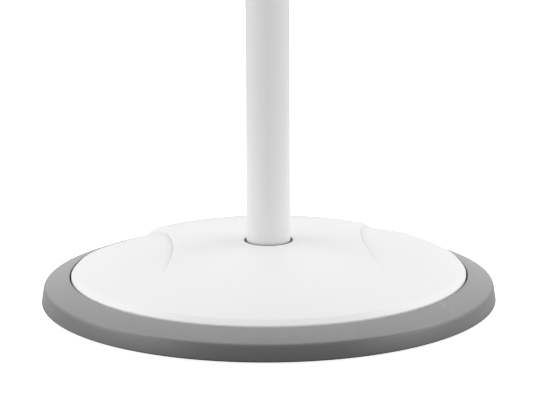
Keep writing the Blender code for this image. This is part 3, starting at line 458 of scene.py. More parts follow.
def blockMesh(low, high, corner=0, along="Y", rounds=6, edge=0, edgeRounds=3):
    # a box with its corners rounded along one axis, and its other edges eased
    bm = bmesh.new()
    size = Vector(high) - Vector(low)
    bmesh.ops.create_cube(bm, size=1)
    bmesh.ops.scale(bm, vec=size, verts=bm.verts)
    bmesh.ops.translate(bm, vec=(Vector(low) + Vector(high)) / 2, verts=bm.verts)
    index = "XYZ".index(along)
    if corner:
        long = [e for e in bm.edges
                if abs((e.verts[0].co - e.verts[1].co)[index]) > 0.5 * size[index]]
        bmesh.ops.bevel(bm, geom=long, offset=corner, segments=rounds, profile=0.5,
                        affect="EDGES", material=-1)
    if edge:
        sharp = [e for e in bm.edges if e.calc_face_angle(0) > math.radians(60)]
        bmesh.ops.bevel(bm, geom=sharp, offset=edge, segments=edgeRounds, profile=0.5,
                        affect="EDGES", material=-1)
    return bm


def cutterFrom(bm):
    facingOut(bm)
    piece = bpy.data.objects.new("cutter", meshFrom(bm, "cutter"))
    scene.collection.objects.link(piece)
    return piece


def rodMesh(radius, low, high, place=(0, 0), axis="Z", steps=32, far=None):
    bm = bmesh.new()
    bmesh.ops.create_cone(bm, cap_ends=True, segments=steps, radius1=radius,
                          radius2=radius if far is None else far, depth=high - low)
    middle = (low + high) / 2
    if axis == "X":
        bmesh.ops.rotate(bm, matrix=Matrix.Rotation(math.pi / 2, 3, "Y"), verts=bm.verts)
        bmesh.ops.translate(bm, vec=(middle, place[0], place[1]), verts=bm.verts)
    elif axis == "Y":
        bmesh.ops.rotate(bm, matrix=Matrix.Rotation(-math.pi / 2, 3, "X"), verts=bm.verts)
        bmesh.ops.translate(bm, vec=(place[0], middle, place[1]), verts=bm.verts)
    else:
        bmesh.ops.translate(bm, vec=(place[0], place[1], middle), verts=bm.verts)
    return bm


def carve(piece, tools, operation="DIFFERENCE", ease=0, smooth=30):
    # booleans are applied at once, then the new edges are eased
    tools = [cutterFrom(tool) for tool in tools]
    for tool in tools:
        cut = piece.modifiers.new("cut", "BOOLEAN")
        cut.operation = operation
        cut.solver = "EXACT"
        cut.object = tool
    if ease:
        bevel = piece.modifiers.new("ease", "BEVEL")
        bevel.width = ease
        bevel.segments = 2
        bevel.limit_method = "ANGLE"
        bevel.angle_limit = math.radians(45)
        bevel.use_clamp_overlap = True
    graph = bpy.context.evaluated_depsgraph_get()
    mesh = bpy.data.meshes.new_from_object(piece.evaluated_get(graph))
    piece.modifiers.clear()
    old = piece.data
    piece.data = mesh
    bpy.data.meshes.remove(old)
    piece.data.shade_smooth()
    piece.data.set_sharp_from_angle(angle=math.radians(smooth))
    for tool in tools:
        bpy.data.objects.remove(tool)


def evenShading(piece):
    # keeps the shading of broad flat faces flat beside rounded edges
    even = piece.modifiers.new("even shading", "WEIGHTED_NORMAL")
    even.keep_sharp = True


# foot
coverLook = {
    "edgeZ": 19.5 * mm,
    "domePower": 3.3,
    "wall": 2.0 * mm,
    "edgeRun": 2.6 * mm,  # breadth of the rolled edge
    "edgeFootZ": 17.9 * mm,
    "holeRound": 0.4 * mm,
    "padDepth": (3.1 * mm, 2.0 * mm),  # left pad, right pad
    "padArc": 2.0 * baseRadius,
    "padNearest": 53.5 * mm,
    "padArcY": 10 * mm,
    "padFade": -82 * mm,
    "padFull": 40 * mm,
    "padRiser": 0.9 * mm,
    "padReach": (80 * mm, 30 * mm),
    "padGroove": 0.22,  # depth of the fine groove at the step's foot, as a share of the step
    "turns": 432,
}
coverRadius = coverHigh.x
holeRadius = poleHigh.x + 1.4 * mm


def easeBetween(low, high, value):
    share = min(max((value - low) / (high - low), 0), 1)
    return share * share * (3 - 2 * share)


def domeZ(radius):
    share = min(radius / coverRadius, 1)
    top, edge = coverHigh.z, coverLook["edgeZ"]
    return edge + (top - edge) * (1 - share ** coverLook["domePower"])


def padDrop(x, y, riser=None, inset=0.0):
    look = coverLook
    outside = look["padArc"] - math.hypot(abs(x) - look["padNearest"] - look["padArc"], y - look["padArcY"])
    side = 0 if x < 0 else 1
    depth = look["padDepth"][side] * easeBetween(look["padFade"], look["padFull"], y)
    rise = 1 - easeBetween(look["padRiser"], look["padReach"][side], outside)
    drop = depth * easeBetween(0, riser or look["padRiser"], outside + inset) * rise
    if riser is None:
        away = (outside - look["padRiser"] - 0.15 * mm) / (0.3 * mm)
        drop += depth * look["padGroove"] * math.exp(-away * away)
    return drop


def padCurve(angle, inwards, limit):
    # distance along this heading to the pad's edge, shifted inwards by a share of its riser
    look = coverLook
    centreX = look["padNearest"] + look["padArc"]
    radius = look["padArc"] - inwards
    along = abs(math.cos(angle)) * centreX + math.sin(angle) * look["padArcY"]
    rest = along ** 2 - (centreX ** 2 + look["padArcY"] ** 2 - radius ** 2)
    if along <= 0 or rest <= 0:
        return limit
    return min(along - math.sqrt(rest), limit)


def gatheredAngle(angle):
    # columns crowd together where the pads' edges run out over the back of the cover
    for centre in (math.radians(54.2), math.radians(125.8)):
        away = (angle - centre + math.pi) % (2 * math.pi) - math.pi
        angle -= 0.72 * away * math.exp(-((away / math.radians(9)) ** 2))
    return angle


def makeCover():
    look = coverLook
    edgeStart = coverRadius - look["edgeRun"] - 0.5 * mm
    limit = edgeStart - 0.6 * mm
    innerSteps, outerSteps = 22, 14
    riserPlaces = [0, 0.12, 0.24, 0.36, 0.48, 0.6, 0.72, 0.84, 0.95, 1.06, 1.2, 1.4, 1.7]  # mm from the crest
    # each outer ring has a nominal radius, which is then bent to follow the pads
    outer, kind = [], []
    hole = softened([(holeRadius, domeZ(holeRadius) - look["wall"], 0),
                     (holeRadius, domeZ(holeRadius), look["holeRound"]),
                     (holeRadius + 6 * mm, domeZ(holeRadius + 6 * mm), 0)], closed=False)[:-1]
    for radius, z in hole:
        outer.append((radius, z))
        kind.append(("plain", 0))
    flatStart = outer[-1][0]
    for i in range(1, innerSteps):
        outer.append((flatStart + (50 * mm - flatStart) * i / innerSteps, 0))
        kind.append(("inner", i / innerSteps))
    for away in riserPlaces:
        outer.append((52 * mm + away * mm, 0))
        kind.append(("riser", away * mm))
    for i in range(1, outerSteps):
        outer.append((56 * mm + (edgeStart - 56 * mm) * i / outerSteps, 0))
        kind.append(("outer", i / outerSteps))
    corner = edgeStart + 0.5 * mm
    for radius, z in softened([(edgeStart, domeZ(edgeStart)), (corner, domeZ(corner), 1.6 * mm),
                               (coverRadius, look["edgeFootZ"], 0.9 * mm),
                               (coverRadius, look["edgeFootZ"] - 2 * mm)], closed=False):
        outer.append((radius, z))
        kind.append(("edge", 0))
    outer.append((coverRadius, coverLow.z + 8.5 * mm))
    kind.append(("plain", 0))
    # the underside, a smoother copy
    under = []
    inside = coverRadius - look["wall"]
    under.append((inside, coverLow.z + 8.5 * mm))
    for i in range(9):
        under.append((inside + (holeRadius + 0.3 * mm - inside) * i / 8, 0))
    points = outer + under
    kinds = kind + [("plain", 0)] + [("under", 0)] * 9
    bm = bmesh.new()
    layer = bm.verts.layers.int.new("ring")
    verts = [bm.verts.new((p[0], 0, p[1])) for p in points]
    for i, vert in enumerate(verts):
        vert[layer] = i
    edges = [bm.edges.new(pair) for pair in zip(verts, verts[1:] + verts[:1])]
    bmesh.ops.spin(
        bm, geom=verts + edges, cent=(0, 0, 0), axis=(0, 0, 1),
        angle=2 * math.pi, steps=look["turns"], use_merge=True,
    )
    for vert in bm.verts:
        ring = vert[layer]
        what, share = kinds[ring]
        radius, z = points[ring]
        angle = gatheredAngle(math.atan2(vert.co.y, vert.co.x))
        crest = padCurve(angle, 0, limit)
        foot = padCurve(angle, riserPlaces[-1] * mm, limit + 0.5 * mm)
        if what == "inner":
            radius = flatStart + (crest - flatStart) * share
        elif what == "riser":
            radius = padCurve(angle, share, limit + 0.3 * share)
        elif what == "outer":
            radius = foot + (edgeStart - foot) * share
        x, y = radius * math.cos(angle), radius * math.sin(angle)
        if what in ("inner", "riser", "outer"):
            z = domeZ(radius) - padDrop(x, y)
        elif what == "edge":
            z -= padDrop(x, y)
        elif what == "under":
            z = domeZ(min(radius + 1.2 * mm, coverRadius)) - look["wall"] - padDrop(x, y, 9 * mm, 5 * mm)
        vert.co = (x, y, z)
    facingOut(bm)
    addPiece("topCover", bm, "cover_white", "base", ["top_cover"], smooth=50)


rimLook = {
    "lipZ": rimHigh.z,
    "innerRadius": coverRadius + 0.8 * mm,
    "shoulder": (128.6 * mm, 11.7 * mm, 2.6 * mm),
    "widestZ": 2.6 * mm,
    "footZ": 2.0 * mm,
    "turns": 288,
}


def makeRim():
    look = rimLook
    inner = look["innerRadius"]
    corners = [
        (inner, 6.0 * mm, 0), (inner, look["lipZ"], 0.7 * mm), look["shoulder"],
        (baseRadius, look["widestZ"], 0.5 * mm), (129.2 * mm, look["footZ"], 0.5 * mm),
        (126.4 * mm, look["footZ"], 0.3 * mm), (126.4 * mm, 8.0 * mm, 0.8 * mm),
        (124.6 * mm, 9.8 * mm, 0.8 * mm), (116.3 * mm, 13.2 * mm, 0.8 * mm),
        (115.8 * mm, 4.5 * mm, 0.3 * mm), (113.0 * mm, 4.5 * mm, 0.3 * mm), (113.0 * mm, 6.0 * mm, 0),
    ]
    rim = turnedPiece("rimRing", corners, "rim_grey", "base", ["rim_ring"], look["turns"])
    low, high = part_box("port_socket")
    window = blockMesh((low.x - 0.35 * mm, 120 * mm, low.z - 0.3 * mm),
                       (high.x + 0.35 * mm, 134 * mm, high.z + 0.3 * mm), corner=1.9 * mm)
    notch = blockMesh((-4 * mm, 108 * mm, 4.3 * mm), (4 * mm, 118 * mm, 10.2 * mm))
    carve(rim, [window, notch], ease=0.25 * mm)


def makeFootUnderside():
    low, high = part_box("base_pan")
    radius = high.x
    floorTop = 4.2 * mm
    corners = [
        (0, floorTop), (109.6 * mm, floorTop, 0.6 * mm), (109.6 * mm, high.z, 0.5 * mm),
        (112.6 * mm, high.z, 0.5 * mm), (112.6 * mm, floorTop, 0.6 * mm), (radius, floorTop, 0.4 * mm),
        (radius, low.z + 0.5 * mm, 0.4 * mm), (123.5 * mm, low.z, 0.4 * mm), (122 * mm, low.z, 0.4 * mm),
        (121 * mm, low.z + 0.6 * mm, 0.4 * mm),
        (118 * mm, low.z + 0.6 * mm, 0.4 * mm), (117 * mm, low.z, 0.4 * mm), (56 * mm, low.z, 0.4 * mm),
        (55 * mm, low.z + 0.7 * mm, 0.4 * mm), (32 * mm, low.z + 0.7 * mm, 0.4 * mm),
        (31 * mm, low.z, 0.4 * mm), (0, low.z),
    ]
    pan = turnedPiece("basePan", corners, "pan_grey", "base", ["base_pan"], 192, closed=False)
    tools = []
    for number in range(1, 5):
        low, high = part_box(f"rubber_foot_{number}")
        middle = (low + high) / 2
        tools.append(rodMesh(high.x - middle.x + 0.3 * mm, -1 * mm, high.z + 0.3 * mm,
                                        middle.xy, steps=64))
        screw = middleOf(f"pan_screw_{number}")
        tools.append(rodMesh(1.9 * mm, -1 * mm, 6 * mm, screw.xy))
        tools.append(rodMesh(3.5 * mm, -1 * mm, 3.0 * mm, screw.xy, steps=40))
    tools.append(blockMesh((-4 * mm, 106 * mm, 4.3 * mm), (4 * mm, 118 * mm, 12.5 * mm)))
    carve(pan, tools, ease=0.2 * mm)
    evenShading(pan)
    for number in range(1, 5):
        low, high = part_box(f"rubber_foot_{number}")
        radius = (high.x - low.x) / 2
        corners = [(0, high.z), (radius - 1.5 * mm, high.z), (radius, high.z, 0.4 * mm),
                   (radius, low.z + 0.5 * mm, 0.3 * mm),
                   (radius - 0.6 * mm, low.z, 0.3 * mm), (radius - 2.2 * mm, low.z, 0.15 * mm),
                   (radius - 2.5 * mm, low.z + 0.4 * mm, 0.15 * mm),
                   (radius - 3.1 * mm, low.z + 0.4 * mm, 0.15 * mm),
                   (radius - 3.4 * mm, low.z, 0.15 * mm), (radius - 5.0 * mm, low.z, 0.15 * mm),
                   (radius - 5.3 * mm, low.z + 0.4 * mm, 0.15 * mm),
                   (radius - 5.9 * mm, low.z + 0.4 * mm, 0.15 * mm),
                   (radius - 6.2 * mm, low.z, 0.15 * mm), (0, low.z)]
        move = Matrix.Translation((*middleOf(f"rubber_foot_{number}").xy, 0))
        turnedPiece(f"rubberFoot{number}", corners, "black_rubber", "base", [f"rubber_foot_{number}"],
                    64, closed=False, move=move)


def makeSealAndGapShadow():
    # a black rubber seal in the gap around the pole; its dark top, raised to the cover's level, is partly a real
    # seal and partly the painted shadow of that gap
    low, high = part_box("pole_seal")
    inner = poleHigh.x + 0.3 * mm
    lip = holeRadius - 0.3 * mm
    flange = low.z + 2.7 * mm
    corners = [(inner, low.z, 0.2 * mm), (inner, high.z, 0.15 * mm), (lip, high.z, 0.25 * mm),
               (lip, flange, 0.3 * mm), (high.x, flange, 0.3 * mm), (high.x, low.z, 0.2 * mm)]
    turnedPiece("poleSealAndGapShadow", corners, "black_rubber", "base", ["pole_seal"], 96)


# screws
def screwMesh(head, shank, crown, under, tip, cross=0.55):
    # stands on the Z axis with its crown at the top, and its recess is a cross
    bm = bmesh.new()
    rise = crown - under
    corners = [(0, crown), (head * 0.5, crown - 0.04 * rise, 0), (head * 0.86, crown - 0.22 * rise, 0.3 * mm),
               (head, under + 0.25 * rise, 0.15 * mm), (head, under, 0.08 * mm), (shank, under, 0.1 * mm),
               (shank, tip + shank * 0.7, 0.1 * mm), (shank * 0.4, tip), (0, tip)]
    spinPoints(bm, softened(corners, closed=False, steps=3), 40, closed=False)
    piece = bpy.data.objects.new("screwBlank", meshFrom(bm, "screwBlank"))
    scene.collection.objects.link(piece)
    wide = head * cross
    slim = max(head * 0.11, 0.22 * mm)
    deep = crown - 0.62 * rise
    tools = [blockMesh((-wide, -slim, deep), (wide, slim, crown + mm)),
             blockMesh((-slim, -wide, deep), (slim, wide, crown + mm))]
    carve(piece, tools)
    mesh = piece.data
    bpy.data.objects.remove(piece)
    return mesh


screwTurn = 37  # degrees that each screw is turned further than the one before it


def placeScrews(prefix, nodes, mesh, turn, body, lying=False):
    # each screw is its own mesh, moved to its node's axis
    for number, node in enumerate(nodes, 1):
        middle = middleOf(node)
        spun = Matrix.Rotation(math.radians(screwTurn * number), 4, "Z")
        bm = bmesh.new()
        bm.from_mesh(mesh)
        bmesh.ops.transform(bm, matrix=spun, verts=bm.verts)
        bmesh.ops.transform(bm, matrix=turn, verts=bm.verts)
        offset = Vector((middle.x, 0, middle.z)) if lying else Vector((middle.x, middle.y, 0))
        bmesh.ops.translate(bm, vec=offset, verts=bm.verts)
        name = f"{prefix}{number}" if len(nodes) > 1 else prefix
        addPiece(name, bm, "zinc_steel", body, [node])


def makeScrews():
    upright = Matrix.Identity(4)
    upsideDown = Matrix.Rotation(math.pi, 4, "X")
    low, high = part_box("socket_screw_1")
    bolt = screwMesh(4.2 * mm, 2.3 * mm, high.z, high.z - 3.9 * mm, low.z)
    placeScrews("socketScrew", [f"socket_screw_{i}" for i in range(1, 5)], bolt, upright, "base")
    low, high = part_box("pan_screw_1")
    pan = screwMesh(3.1 * mm, 1.35 * mm, -low.z, -low.z - 1.4 * mm, -high.z)
    placeScrews("panScrew", [f"pan_screw_{i}" for i in range(1, 5)], pan, upsideDown, "base")
    low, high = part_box("bracket_screw_left")
    small = screwMesh(2.8 * mm, 1.35 * mm, high.z, high.z - 2.2 * mm, low.z)
    placeScrews("bracketScrew", ["bracket_screw_left", "bracket_screw_right"], small, upright, "head")
    towardsBack = Matrix.Rotation(-math.pi / 2, 4, "X")
    low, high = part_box("shell_screw_1")
    long = screwMesh(2.9 * mm, 1.35 * mm, high.y, high.y - 2.3 * mm, low.y)
    placeScrews("shellScrew", [f"shell_screw_{i}" for i in range(1, 5)], long, towardsBack, "head",
                lying=True)
    low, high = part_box("service_screw")
    tiny = screwMesh(2.2 * mm, 0.85 * mm, high.y, high.y - 1.0 * mm, low.y)
    placeScrews("serviceScrew", ["service_screw"], tiny, towardsBack, "head", lying=True)


# pole
def makePoles():
    for name, node, wall in (("lowerPole", "lower_pole", 1.5 * mm), ("upperPole", "upper_pole", 1.5 * mm)):
        low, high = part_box(node)
        radius = high.x
        body = "base" if node == "lower_pole" else "mast"
        corners = [(radius - wall, low.z, 0.3 * mm), (radius - wall, high.z, 0.3 * mm),
                   (radius, high.z, 0.5 * mm), (radius, low.z, 0.5 * mm)]
        turnedPiece(name, corners, "pole_white", body, [node], 128)


def makeLockSleeve():
    low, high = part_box("lock_sleeve")
    bore = poleHigh.x + 0.3 * mm
    lip = poleHigh.z + 0.3 * mm
    corners = [
        (bore, low.z, 0.3 * mm), (bore, lip, 0.1 * mm), (upperHigh.x + 0.35 * mm, lip, 0.1 * mm),
        (11.0 * mm, lip + 1.3 * mm, 0.2 * mm), (13.4 * mm, high.z, 0.2 * mm), (14.6 * mm, high.z, 0.4 * mm),
        (14.6 * mm, 248.4 * mm, 0.2 * mm), (high.x, 248.4 * mm, 0.6 * mm), (high.x, 236.4 * mm, 1.6 * mm),
        (15.3 * mm, low.z, 0.6 * mm),
    ]
    turnedPiece("lockSleeve", corners, "cover_white", "base", ["lock_sleeve"], 128)


collarLook = {"grips": 24, "gripDepth": 0.75 * mm, "steps": 192}


def makeCollar():
    look = collarLook
    low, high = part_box("twist_collar")
    radius = high.x
    gripTop, gripBottom = high.z - 5.5 * mm, low.z + 4.5 * mm
    corners = [
        (15.0 * mm, low.z, 0.3 * mm), (15.0 * mm, 269.2 * mm, 0.2 * mm), (12.7 * mm, 269.2 * mm, 0.2 * mm),
        (12.4 * mm, 277 * mm, 0.2 * mm), (10.6 * mm, 277 * mm, 0.2 * mm), (10.6 * mm, high.z - 1.2 * mm, 0),
        (11.4 * mm, high.z, 0.4 * mm), (15.5 * mm, high.z, 1.5 * mm), (radius, high.z - 2.6 * mm, 1.6 * mm),
    ]
    points = softened(corners, closed=False)
    rows = 15
    points += [Vector((radius, gripTop + 1.2 * mm + (gripBottom - gripTop - 2.4 * mm) * i / rows))
               for i in range(rows + 1)]
    points += softened([(radius, gripBottom - 1.3 * mm), (radius, low.z, 0.9 * mm), (15.0 * mm, low.z)],
                       closed=False)[1:-1]
    bm = bmesh.new()
    spinPoints(bm, points, look["steps"])
    for vert in bm.verts:
        reach = vert.co.xy.length
        if abs(reach - radius) > 0.02 * mm:
            continue
        blend = easeBetween(gripBottom - 1.2 * mm, gripBottom + 0.6 * mm, vert.co.z)
        blend *= 1 - easeBetween(gripTop - 0.6 * mm, gripTop + 1.2 * mm, vert.co.z)
        wave = math.cos(math.atan2(vert.co.y, vert.co.x) * look["grips"])
        pressed = look["gripDepth"] * blend * (0.5 + 0.5 * wave) ** 2.2
        vert.co.xy *= 1 - pressed / reach
    addPiece("twistCollar", bm, "rim_grey", "collar", ["twist_collar"], smooth=40)


def makeSwivelBase():
    low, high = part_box("swivel_base")
    flange = upperHigh.z + 0.3 * mm
    corners = [
        (5.8 * mm, low.z, 0.3 * mm), (5.8 * mm, high.z, 0.3 * mm), (15.5 * mm, high.z, 0.6 * mm),
        (high.x, high.z - 1.4 * mm, 0.8 * mm), (high.x, high.z - 6 * mm, 1.2 * mm),
        (13 * mm, flange, 0.6 * mm),
        (8.2 * mm, flange, 0.1 * mm), (8.2 * mm, low.z, 0.4 * mm),
    ]
    turnedPiece("swivelBase", corners, "cover_white", "mast", ["swivel_base"], 112)
    low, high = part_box("friction_washer")
    corners = [(6.2 * mm, low.z, 0.2 * mm), (6.2 * mm, high.z, 0.2 * mm), (high.x, high.z, 0.35 * mm),
               (high.x, low.z, 0.35 * mm)]
    turnedPiece("frictionWasher", corners, "black_plastic", "mast", ["friction_washer"], 96)


# neck and tilt bracket
def lugMesh(inner, outer, radius, endZ, steps=48):
    # a flat ear across X, round about the tilt axis
    bm = rodMesh(radius, inner, outer, (0, tiltAxisZ), "X", steps)
    away = 1 if endZ > tiltAxisZ else -1
    bmesh.ops.bisect_plane(
        bm, geom=bm.verts[:] + bm.edges[:] + bm.faces[:], dist=0.001 * mm,
        plane_co=(0, 0, tiltAxisZ), plane_no=(0, 0, away), clear_outer=True,
    )
    rim = [e for e in bm.edges if e.is_boundary]
    pulled = bmesh.ops.extrude_edge_only(bm, edges=rim)["geom"]
    for vert in (v for v in pulled if isinstance(v, bmesh.types.BMVert)):
        vert.co.z = endZ
    bmesh.ops.holes_fill(bm, edges=[e for e in bm.edges if e.is_boundary])
    return bm


def makeNeck():
    low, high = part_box("swivel_neck")
    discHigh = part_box("friction_washer")[1]
    bottom = discHigh.z + 0.3 * mm
    corners = [(0, 433 * mm), (15.6 * mm, 433 * mm, 0.8 * mm), (high.x, 431.4 * mm, 1.0 * mm),
               (high.x, bottom, 0.5 * mm), (5.5 * mm, bottom, 0.2 * mm), (5.5 * mm, low.z, 0.5 * mm),
               (0, low.z)]
    neck = turnedPiece("swivelNeck", corners, "cover_white", "neck", ["swivel_neck"], 96, closed=False)
    ears = [lugMesh(*sorted((side * 11.5 * mm, side * 16.5 * mm)), 8 * mm, 428 * mm)
            for side in (-1, 1)]
    carve(neck, ears, "UNION")
    turned = rodMesh(high.x, low.z - mm, high.z + mm, steps=192)
    carve(neck, [turned], "INTERSECT")
    pinHole = rodMesh(2.7 * mm, -20 * mm, 20 * mm, (0, tiltAxisZ), "X", 32)
    bore = rodMesh(3.2 * mm, 385 * mm, 440 * mm, steps=40)
    carve(neck, [pinHole, bore], ease=0.35 * mm)
    evenShading(neck)


def makeBracket():
    low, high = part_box("tilt_bracket")
    bracket = addPiece("tiltBracket",
                       blockMesh((low.x, low.y, 468.8 * mm), (high.x, high.y, high.z), 2.5 * mm, "Z"),
                       "zinc_steel", "head", ["tilt_bracket"])
    cheeks = [lugMesh(*sorted((side * 6.2 * mm, side * 10.2 * mm)), 7 * mm, 470 * mm)
              for side in (-1, 1)]
    carve(bracket, cheeks, "UNION")
    tools = [rodMesh(2.7 * mm, -20 * mm, 20 * mm, (0, tiltAxisZ), "X", 32),
             rodMesh(4 * mm, 466 * mm, 474 * mm)]
    tools += [rodMesh(1.7 * mm, 466 * mm, 474 * mm, (side * 18 * mm, 0)) for side in (-1, 1)]
    carve(bracket, tools, ease=0.3 * mm)
    evenShading(bracket)


def makeTiltPins():
    for side, label in ((-1, "left"), (1, "right")):
        low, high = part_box(f"tilt_pin_{label}")
        move = Matrix.Translation((0, 0, tiltAxisZ)) @ Matrix.Rotation(side * math.pi / 2, 4, "Y")
        tip, crown = sorted((abs(low.x), abs(high.x)))
        head = (high.z - low.z) / 2
        corners = [(0, crown), (head - 0.9 * mm, crown, 0.5 * mm), (head, crown - 0.7 * mm, 0.4 * mm),
                   (head, 16.8 * mm, 0.25 * mm), (2.4 * mm, 16.8 * mm, 0.1 * mm),
                   (2.4 * mm, tip, 0.4 * mm), (0, tip)]
        pin = turnedPiece(f"tiltPin{label.title()}", corners, "zinc_steel", "neck", [f"tilt_pin_{label}"],
                          48, closed=False)
        carve(pin, [rodMesh(1.9 * mm, crown - 1.9 * mm, crown + mm, steps=6)], ease=0.12 * mm)
        pin.data.transform(move)
        low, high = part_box(f"tilt_washer_{label}")
        near, far = sorted((abs(low.x), abs(high.x)))
        corners = [(2.8 * mm, near, 0.1 * mm), (2.8 * mm, far, 0.1 * mm), (high.y, far, 0.25 * mm),
                   (high.y, near, 0.25 * mm)]
        washer = turnedPiece(f"tiltWasher{label.title()}", corners, "black_plastic", "neck",
                             [f"tilt_washer_{label}"], 64)
        washer.data.transform(move)


# head
shellLook = {
    "corner": 14 * mm,
    "wall": 2.5 * mm,
    "backRound": 5.5 * mm,
    "frontRound": 3.0 * mm,
    "vents": 8,
    "ventStep": 6 * mm,
}


def trayMesh(closedY, openY, edgeRound):
    # half of the casing, open towards the other half, with its wall turned in
    look = shellLook
    low = Vector((shellLow.x, min(closedY, openY), shellLow.z))
    high = Vector((shellHigh.x, max(closedY, openY), shellHigh.z))
    bm = blockMesh(low, high, look["corner"], rounds=14)
    rim = [e for e in bm.edges if all(abs(v.co.y - closedY) < 0.01 * mm for v in e.verts)]
    bmesh.ops.bevel(bm, geom=rim, offset=edgeRound, segments=9, profile=0.5, affect="EDGES", material=-1)
    mouth = [f for f in bm.faces if all(abs(v.co.y - openY) < 0.01 * mm for v in f.verts)]
    bmesh.ops.delete(bm, geom=mouth, context="FACES_ONLY")
    facingOut(bm)
    out = Vector((1, 0, 0))
    right = max(bm.faces, key=lambda f: f.calc_center_median().x)
    if right.normal.dot(out) < 0:
        bmesh.ops.reverse_faces(bm, faces=bm.faces)
    bmesh.ops.solidify(bm, geom=bm.faces[:], thickness=look["wall"])
    return bm


def makeRearShell():
    look = shellLook
    shell = addPiece("rearShell", trayMesh(shellHigh.y, shellLow.y, look["backRound"]), "cover_white", "head",
                     ["rear_shell"])
    back = shellHigh.y
    tools = [blockMesh((-11 * mm, -12 * mm, 460 * mm), (11 * mm, 8 * mm, 470 * mm), 1 * mm, "Z")]
    for number in range(look["vents"]):
        x = (number - (look["vents"] - 1) / 2) * look["ventStep"]
        tools.append(blockMesh((x - 1 * mm, back - 7 * mm, headMiddleZ + 12 * mm),
                               (x + 1 * mm, back + 4 * mm, headMiddleZ + 30 * mm), 0.95 * mm, "Y"))
    button = middleOf("power_button")
    tools.append(rodMesh(5.2 * mm, back - 7 * mm, back + 4 * mm, (button.x, button.z), "Y", 64))
    tools.append(rodMesh(6.6 * mm, back - 0.55 * mm, back + 1.5 * mm, (button.x, button.z), "Y", 64,
                         far=8.6 * mm))
    door = middleOf("service_cover")
    low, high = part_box("service_cover")
    tools.append(blockMesh((low.x - 0.3 * mm, back - 1.9 * mm, low.z - 0.3 * mm),
                           (high.x + 0.3 * mm, back + 4 * mm, high.z + 0.3 * mm), 2 * mm))
    tools.append(blockMesh((door.x - 14 * mm, back - 7 * mm, door.z - 6 * mm),
                           (door.x + 14 * mm, back + 4 * mm, door.z + 6 * mm)))
    tap = middleOf("service_screw")
    tools.append(rodMesh(1.2 * mm, back - 7 * mm, back + 4 * mm, (tap.x, tap.z), "Y", 24))
    for side in (-1, 1):
        tools.append(rodMesh(1.8 * mm, 460 * mm, 472 * mm, (side * 18 * mm, 0)))
    bosses = []
    for number in range(1, 5):
        screw = middleOf(f"shell_screw_{number}")
        bosses.append(rodMesh(4.4 * mm, shellLow.y + 1 * mm, back - 1 * mm, (screw.x, screw.z), "Y", 40))
        tools.append(rodMesh(1.8 * mm, -12 * mm, back + 2 * mm, (screw.x, screw.z), "Y", 24))
        tools.append(rodMesh(3.3 * mm, back - 5 * mm, back + 4 * mm, (screw.x, screw.z), "Y", 48))
    carve(shell, bosses, "UNION")
    carve(shell, tools, ease=0.3 * mm, smooth=35)
    evenShading(shell)


def makeBezel():
    look = shellLook
    front = bezelLow.y
    bezel = addPiece("frontBezel", trayMesh(front, bezelHigh.y, look["frontRound"]), "rim_grey", "head",
                     ["front_bezel"])
    opening = blockMesh((-93 * mm, front - 5 * mm, headMiddleZ - 27 * mm),
                        (93 * mm, front + 8 * mm, headMiddleZ + 27 * mm), 6 * mm, rounds=10)
    flare = blockMesh((-94.6 * mm, front - 2 * mm, headMiddleZ - 28.6 * mm),
                      (94.6 * mm, front + 1.3 * mm, headMiddleZ + 28.6 * mm), 7.4 * mm, rounds=10)
    for vert in flare.verts:
        if vert.co.y > front:
            vert.co.x *= 93.3 / 94.6
            vert.co.z = headMiddleZ + (vert.co.z - headMiddleZ) * 27.3 / 28.6
    bosses, holes = [], []
    for number in range(1, 5):
        screw = middleOf(f"shell_screw_{number}")
        bosses.append(rodMesh(4.0 * mm, front + 2 * mm, bezelHigh.y, (screw.x, screw.z), "Y", 32))
        holes.append(rodMesh(1.7 * mm, -14 * mm, -4 * mm, (screw.x, screw.z), "Y", 24))
    carve(bezel, bosses, "UNION")
    carve(bezel, [opening, flare, *holes], ease=0.25 * mm, smooth=35)
    evenShading(bezel)


def makeWindow():
    low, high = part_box("window")
    addPiece("window", blockMesh(low, high, 3 * mm, rounds=6, edge=0.2 * mm), "smoked_window", "head",
             ["window"])


displayLook = {
    "columns": 20,
    "rows": 2,
    "dot": 0.86 * mm,
    "dotStep": 1.12 * mm,
    "cellStep": 8.1 * mm,
    "rowStep": 13.5 * mm,
    "text": {14: "0", 15: ".", 16: "0", 17: "0"},
}
dotShapes = {
    "0": ["01110", "10001", "10001", "10001", "10001", "10001", "01110"],
    ".": ["00000", "00000", "00000", "00000", "00000", "01100", "01100"],
}


def dotMesh(places, size, y):
    bm = bmesh.new()
    for x, z in places:
        bmesh.ops.create_cube(
            bm, size=1, matrix=Matrix.Translation((x, y, z)) @ Matrix.Diagonal((size, 0.12 * mm, size, 1)))
    return bm


